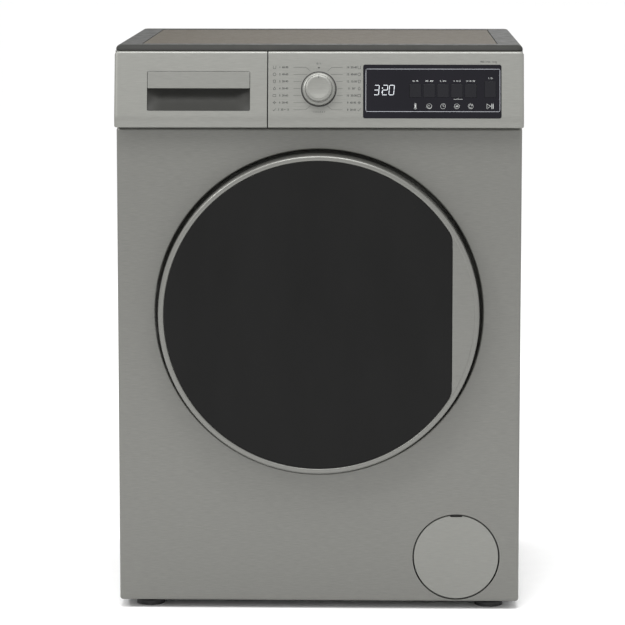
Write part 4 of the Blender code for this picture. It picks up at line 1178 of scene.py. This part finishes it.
def glass():
    """The moulded glass bowl, with a rolled flange and a thick rounded nose."""
    outer = [(0, -0.1520), (0.0450, -0.1524), (0.0760, -0.1540), (0.0980, -0.1572),
             (0.1120, -0.1618), (0.1220, -0.1680), (0.1300, -0.1762), (0.1360, -0.1862),
             (0.1410, -0.1975), (0.1460, -0.2120), (0.1510, -0.2255), (0.1545, -0.2310),
             (0.1600, -0.2326), (0.1692, -0.2326)]
    inner = [(0.1700, -0.2334), (0.1700, -0.2358), (0.1692, -0.2366), (0.1530, -0.2366),
             (0.1490, -0.2350), (0.1450, -0.2280), (0.1400, -0.2120), (0.1352, -0.1985),
             (0.1300, -0.1880), (0.1232, -0.1795), (0.1150, -0.1725), (0.1050, -0.1666),
             (0.0930, -0.1622), (0.0760, -0.1590), (0.0450, -0.1568), (0, -0.1560)]
    mesh = turned_y("glass", outer + inner, 128)
    piece("door_glass_bowl", mesh, GLASS, "door", ["door_glass"], 60)


def hinge():
    """Zinc hinge: fixed plate with two lugs and a pin, and the swinging arm."""
    front, rear, knuckle = FLOOR_Y - 0.0033, FLOOR_Y - 0.0005, 0.0052
    inner, outer = 0.0245, 0.0345       # of the lugs, from the middle of the hinge
    plate = block("plate", (-0.2290, front, AXIS_Z - 0.046), (-0.1880, rear, AXIS_Z + 0.046),
                  edge=0.0010)
    lug = (arc((HINGE_X, HINGE_Y), knuckle, 180, 360, 16)
           + [(-0.2050, front + 0.0012), (-0.2280, front + 0.0012)])
    lugs = [slab("lug", lug, AXIS_Z + low, AXIS_Z + high, edge=0.0004)
            for low, high in ((-outer, -inner), (inner, outer))]
    half = [(0, 0.0338), (0.0026, 0.0338), (0.0030, 0.0330)]
    pin = turned("pin", [(radius, AXIS_Z - height) for radius, height in half]
                 + [(radius, AXIS_Z + height) for radius, height in reversed(half)], 32,
                 Matrix.Translation((HINGE_X, HINGE_Y, 0)))
    heads = [turned_y("head", soft_profile([
        (0, front + 0.0002), (0.0042, front + 0.0002), (0.0040, front - 0.0012),
        (0.0026, front - 0.0020), (0, front - 0.0020)], 0.0004, 2), 24, -0.2000, z)
        for z in (AXIS_Z - 0.038, AXIS_Z + 0.038)]
    piece("hinge_fixed_plate", merged("hinge_fixed_plate", plate, *lugs, pin, *heads), ZINC,
          "cabinet", ["hinge_bracket"], 40)
    bore = arc((HINGE_X, HINGE_Y), 0.0034, 0, 330, 11)
    outline = (arc((HINGE_X, HINGE_Y), knuckle, 45, 270, 20)
               + [(-0.1830, HINGE_Y - knuckle), (-0.1830, -0.2362), (-0.1730, -0.2362),
                  (-0.1730, -0.2325), (-0.1900, -0.2325), (-0.1900, HINGE_Y + 0.0010),
                  (-0.2200, HINGE_Y + 0.0010)])
    arm = slab("arm", outline, AXIS_Z - 0.0238, AXIS_Z + 0.0238, holes=[bore], edge=0.0005)
    piece("hinge_swing_arm", arm, ZINC, "door", ["hinge_arm"], 40)


def latch():
    """The cast hook on the door, and the escutcheon that it enters."""
    hook = [(0.2010, -0.2500), (0.2090, -0.2500), (0.2080, -0.2320), (0.2080, -0.2090),
            (0.2071, -0.2074), (0.2055, -0.2067), (0.1980, -0.2108), (0.1975, -0.2120),
            (0.1980, -0.2134), (0.2008, -0.2136), (0.2025, -0.2150), (0.2020, -0.2320)]
    mesh = slab("hook", hook, AXIS_Z - 0.0040, AXIS_Z + 0.0040, edge=0.0006)
    piece("door_hook_casting", mesh, CAST_ZINC, "hook", ["door_hook"], 45)
    plate = slab("escutcheon", rounded_rect(0.1880, 0.2200, AXIS_Z - 0.020, AXIS_Z + 0.020,
                                            0.004, 5), -FLOOR_Y + 0.0001, -FLOOR_Y + 0.0009,
                 FRONTAL, holes=[rounded_rect(0.1935, 0.2145, AXIS_Z - 0.0062, AXIS_Z + 0.0062,
                                              0.0010, 3)], edge=0.0003)
    piece("lock_escutcheon", plate, WHITE, "cabinet")


# ---------------------------------------------------------------- washing group


def gasket():
    """The folded door bellows between the front panel and the tub, on no body."""
    path = [(0.1652, -0.2283), (0.1610, -0.2262), (0.1640, -0.2232), (0.1690, -0.2190),
            (0.1705, -0.2140), (0.1725, -0.2105), (0.1772, -0.2060), (0.1797, -0.2005),
            (0.1780, -0.1955), (0.1735, -0.1915), (0.1722, -0.1870), (0.1724, -0.1812)]
    back = [(0.1744, -0.1812), (0.1745, -0.1872), (0.1755, -0.1902), (0.1802, -0.1945),
            (0.1822, -0.2005), (0.1795, -0.2075), (0.1748, -0.2122), (0.1730, -0.2150),
            (0.1722, -0.2195), (0.1690, -0.2235), (0.1715, -0.2262), (0.1736, -0.2274),
            (0.1744, -0.2279), (0.1740, -0.2285), (0.1690, -0.2285)]
    mesh = turned_y("bellows", path + back, 128)
    bellows = piece("door_bellows", mesh, GASKET, None, ["door_gasket"], 60)
    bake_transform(bellows)


def suspension_springs():
    """Both coil springs, which stretch from the cabinet down to the tub."""
    wire, coil, turns, steps = 0.0020, 0.0108, 11, 20
    low, high = 0.6150, 0.7600
    for side, x in (("left", -SPRING_X), ("right", SPRING_X)):
        points = [(x, SPRING_Y, 0.5880), (x, SPRING_Y, 0.6070)]
        for i in range(turns * steps + 1):
            angle = 2 * math.pi * i / steps
            points.append((x + coil * math.cos(angle), SPRING_Y + coil * math.sin(angle),
                           low + (high - low) * i / (turns * steps)))
        points += [(x, SPRING_Y, 0.7680), (x, SPRING_Y, 0.8050)]
        spring = piece(f"spring_{side}_coil", tube("coil", points, wire), ZINC, None,
                       [f"spring_{side}"], 50)
        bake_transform(spring)


def sump_hose():
    """The corrugated hose between the tub's outlet and the pump."""
    ends = [Vector(point) for point in ((0.100, -0.090, 0.1970), (0.100, -0.090, 0.1000),
                                        (0.108, -0.160, 0.0806), (0.1630, -0.160, 0.0806))]
    path = mathutils.geometry.interpolate_bezier(*ends, 56)
    hose = piece("sump_hose_bellows", tube("hose", path, 0.0158, 0.90, 8), RUBBER, None,
                 ["sump_hose"], 50)
    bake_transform(hose)


def drum():
    """The perforated drum: punched shell, dished rear and a rolled front lip."""
    around, along, hole = 72, 13, 0.0034
    front, rear = -0.1515, 0.1205
    pitch, step = (rear - front) / along, 2 * math.pi / around
    bm = bmesh.new()

    def on_shell(points):
        return [bm.verts.new((DRUM_R * math.cos(angle), DRUM_R * math.sin(angle), -y))
                for angle, y in points]

    for row, k in ((row, k) for row in range(along) for k in range(around)):
        angle = (k + 0.5 * (row % 2)) * step
        y = front + (row + 0.5) * pitch
        outer = on_shell((angle + dx * (step / 2), y + dy * pitch / 2) for dx, dy in
                         ((1, 0), (1, 1), (0, 1), (-1, 1), (-1, 0), (-1, -1), (0, -1), (1, -1)))
        inner = on_shell((angle + hole / DRUM_R * math.cos(a), y + hole * math.sin(a))
                         for a in (math.pi / 4 * i for i in range(8)))
        for i in range(8):
            j = (i + 1) % 8
            bm.faces.new((outer[i], outer[j], inner[j], inner[i]))
    weld(bm, 1e-5)
    shell = to_mesh(bm, "shell", AXIS)
    lip = turned_y("lip", [
        (DRUM_R, front), (DRUM_R, -0.1560), (0.2385, -0.1588), (0.2360, -0.1600),
        (0.2330, -0.1605), (0.2250, -0.1590), (0.2100, -0.1590), (0.2060, -0.1606),
        (0.1860, -0.1612), (0.1790, -0.1613), (0.1770, -0.1606), (0.1762, -0.1590),
        (0.1760, -0.1560)], 192, closed=False)
    back = turned_y("back", [
        (DRUM_R, rear), (DRUM_R, 0.1222), (0.2385, 0.1232), (0.2340, 0.1238), (0.2050, 0.1238),
        (0.2000, 0.1222), (0.1500, 0.1222), (0.1450, 0.1238), (0.0900, 0.1238), (0.0860, 0.1224),
        (0.0300, 0.1224), (0.0270, 0.1238), (0, 0.1238)], 192, closed=False)
    piece("drum_shell", merged("drum_shell", shell, lip, back), STAINLESS, "drum", ["drum"],
          35, 0.0008)


def lifters():
    """Three paddles with a rounded crest and a row of drain holes on either flank."""
    half, crest, seat, steps = 0.0295, 0.0385, 0.2360, 16
    for i in range(3):
        place = AXIS @ Matrix.Rotation(math.radians(120 * i), 4, "Z")
        loops = []
        for z, swell in ((0.1295, 0.70), (0.1280, 0.86), (0.1240, 0.96), (0.1100, 1.0),
                         (-0.0750, 1.0), (-0.0890, 0.96), (-0.0935, 0.86), (-0.0948, 0.70)):
            loop = []
            for t in (-1 + 2 * k / steps for k in range(steps + 1)):
                rise = crest * swell * (1 - abs(t) ** 2.4) ** 0.75
                wide = half * (0.55 + 0.45 * swell) * t * (1 - 0.30 * (rise / crest))
                loop.append((wide, -math.sqrt(seat ** 2 - wide ** 2) + rise, z))
            loops.append(loop)
        drains = [rod(0.0032, -0.012, 0.012, 16,
                      place @ Matrix.Translation((side * 0.0165, -0.2150, z))
                      @ Matrix.Rotation(side * math.radians(62), 4, "Z")
                      @ Matrix.Rotation(math.pi / 2, 4, "X"))
                  for side in (-1, 1) for z in (-0.070, -0.038, -0.006, 0.026, 0.058, 0.090)]
        name = f"drum_lifter_{i + 1}"
        paddle = cut(solid("paddle", loops, place), *drains)
        piece(f"{name}_paddle", paddle, PADDLE, "drum", [name], 40)


def pump_service():
    """The hinged filter cover, and the filter plug with its grip."""
    rim = FILTER_COVER_R
    cover = turned_y("cover", [
        (0, FRONT_Y), (rim - 0.0016, FRONT_Y), (rim - 0.0006, FRONT_Y + 0.0003),
        (rim, FRONT_Y + 0.0012), (rim, FRONT_Y + 0.0025), (rim - 0.0018, FRONT_Y + 0.0025),
        (rim - 0.0026, FRONT_Y + 0.0019), (0, FRONT_Y + 0.0019)], 128, FILTER_X, FILTER_Z)
    finger = slab("finger", rounded_rect(FILTER_X - 0.0090, FILTER_X + 0.0090,
                                         FILTER_Z + 0.0607, FILTER_Z + 0.0700, 0.0010, 4),
                  0.23, 0.25, FRONTAL)
    piece("filter_cover_flap", cut(cover, finger), COVER, "cover", ["filter_cover"],
          35)
    plug = turned_y("plug", soft_profile([
        (0, -0.1560), (0.0270, -0.1560), (0.0270, -0.2150), (0.0340, -0.2170), (0.0340, -0.2300),
        (0.0325, -0.2310), (0.0300, -0.2310), (0.0285, -0.2296), (0, -0.2296)], 0.0006, 3), 64,
        FILTER_X, FILTER_Z)
    bar = block("bar", (FILTER_X - 0.0262, -0.2372, FILTER_Z - 0.0048),
                (FILTER_X + 0.0262, -0.2290, FILTER_Z + 0.0048), edge=0.0014, segments=4)
    ribs = [block("rib", (FILTER_X + x - 0.0006, -0.2366, FILTER_Z - 0.0054),
                  (FILTER_X + x + 0.0006, -0.2292, FILTER_Z + 0.0054), edge=0.0003)
            for x in (-0.021, -0.017, -0.013, 0.013, 0.017, 0.021)]
    piece("pump_filter_plug", merged("pump_filter_plug", plug, bar, *ribs), WHITE, "filter",
          ["pump_filter"], 35)


def connections():
    """The threaded water inlet with its strainer seat, and the ribbed cord gland."""
    crest, root, pitch = 0.0132, 0.0119, 0.0026
    profile = [(0, 0.2500), (root, 0.2500), (root, 0.2640)]
    for k in range(5):
        start = 0.2640 + k * pitch
        profile += [(root, start), (crest, start + 0.0009), (crest, start + 0.0014),
                    (root, start + 0.0023)]
    profile += [(root, SPIGOT_Y - 0.0008), (root - 0.0008, SPIGOT_Y), (0.0100, SPIGOT_Y),
                (0.0094, SPIGOT_Y - 0.0006), (0.0094, 0.2660), (0.0040, 0.2652), (0, 0.2652)]
    thread = turned_y("thread", profile, 48, INLET_X, INLET_Z)
    body = block("body", (INLET_X - 0.028, 0.205, INLET_Z - 0.027),
                 (INLET_X + 0.028, 0.262, INLET_Z + 0.027), edge=0.0020)
    piece("inlet_valve_body", merged("inlet_valve_body", body, thread), WHITE, "cabinet",
          ["inlet_valve"], 35)
    gland = [(0.0046, 0.2552), (0.0096, 0.2552), (0.0096, 0.2690), (0.0136, 0.2690),
             (0.0140, 0.2694), (0.0140, 0.2710), (0.0135, 0.2715)]
    for k in range(3):
        start, radius = 0.2716 + k * 0.0020, 0.0086 - k * 0.0008
        gland += [(radius, start), (radius, start + 0.0010), (radius - 0.0011, start + 0.0012),
                  (radius - 0.0011, start + 0.0019)]
    gland += [(0.0058, 0.2778), (0.0046, 0.2778)]
    piece("cord_gland_boot", turned_y("cord_gland_boot", gland, 48, GLAND_X, GLAND_Z), RUBBER,
          "cabinet", ["cord_gland"], 35)


# ---------------------------------------------------------------- studio


LIGHTS = (      # name, place, aim, size and watts of each panel
    ("key", (-2.2, -2.4, 2.6), (0, -0.1, 0.55), (0.7, 0.7), 43),
    ("fill", (2.8, -2.4, 1.2), (0, 0, 0.40), (2.2, 2.2), 8),
    ("bounce", (0.0, -1.5, 2.6), (0, -1.5, 0.0), (1.6, 1.0), 60),
    ("back", (0.8, 3.2, 2.4), (0, 0, 0.5), (2.6, 2.0), 25))
WORLD_STRENGTH = 1.08
FLOOR_HALF = 30
FOCAL_MM, SENSOR_MM, FRAME_SHIFT = 175.96, 36.0, -0.08
EYE = (0.0928, -4.7209, 1.0793)
YAW, PITCH = math.radians(-1.31), math.radians(-7.07)


def aim(obj, direction):
    obj.rotation_euler = direction.to_track_quat("-Z", "Y").to_euler()


def studio():
    """A pale floor, an even white surround and four soft panels of light."""
    bm = bmesh.new()
    bmesh.ops.create_grid(bm, x_segments=1, y_segments=1, size=FLOOR_HALF)
    ground = add_object("studio_floor", baked(bm, "floor"))
    ground.data.materials.append(FLOOR)
    world = bpy.data.worlds.new("Studio")
    bpy.context.scene.world = world
    world.use_nodes = True
    background = world.node_tree.nodes["Background"]
    background.inputs["Color"].default_value = (1.0, 1.0, 1.0, 1.0)
    background.inputs["Strength"].default_value = WORLD_STRENGTH
    for name, place, target, size, power in LIGHTS:
        light = bpy.data.lights.new(name, "AREA")
        light.shape = "RECTANGLE"
        light.size, light.size_y = size
        light.energy = power
        lamp = add_object(name, light)
        lamp.location = place
        aim(lamp, Vector(target) - Vector(place))


def camera():
    """A long lens from the front, a little to the right and above, as in the photograph."""
    lens = bpy.data.cameras.new("camera")
    lens.lens = FOCAL_MM
    lens.sensor_width = SENSOR_MM
    lens.shift_y = FRAME_SHIFT
    lens.clip_end = 100.0
    eye = add_object("camera", lens)
    eye.location = EYE
    aim(eye, Vector((math.sin(YAW) * math.cos(PITCH), math.cos(YAW) * math.cos(PITCH),
                     math.sin(PITCH))))
    bpy.context.scene.camera = eye
    bpy.context.scene.view_settings.view_transform = "Standard"


def build():
    camera()
    studio()
    for node, material in KEPT.items():
        dress(node, material)
    front_panel()
    filter_inside()
    cabinet_wrap()
    rear_cover()
    cabinet_screws()
    worktop()
    feet()
    control_fascia()
    knob()
    display()
    programme_scale()
    drawer()
    door()
    hinge()
    latch()
    gasket()
    suspension_springs()
    sump_hose()
    drum()
    lifters()
    pump_service()
    connections()


build()
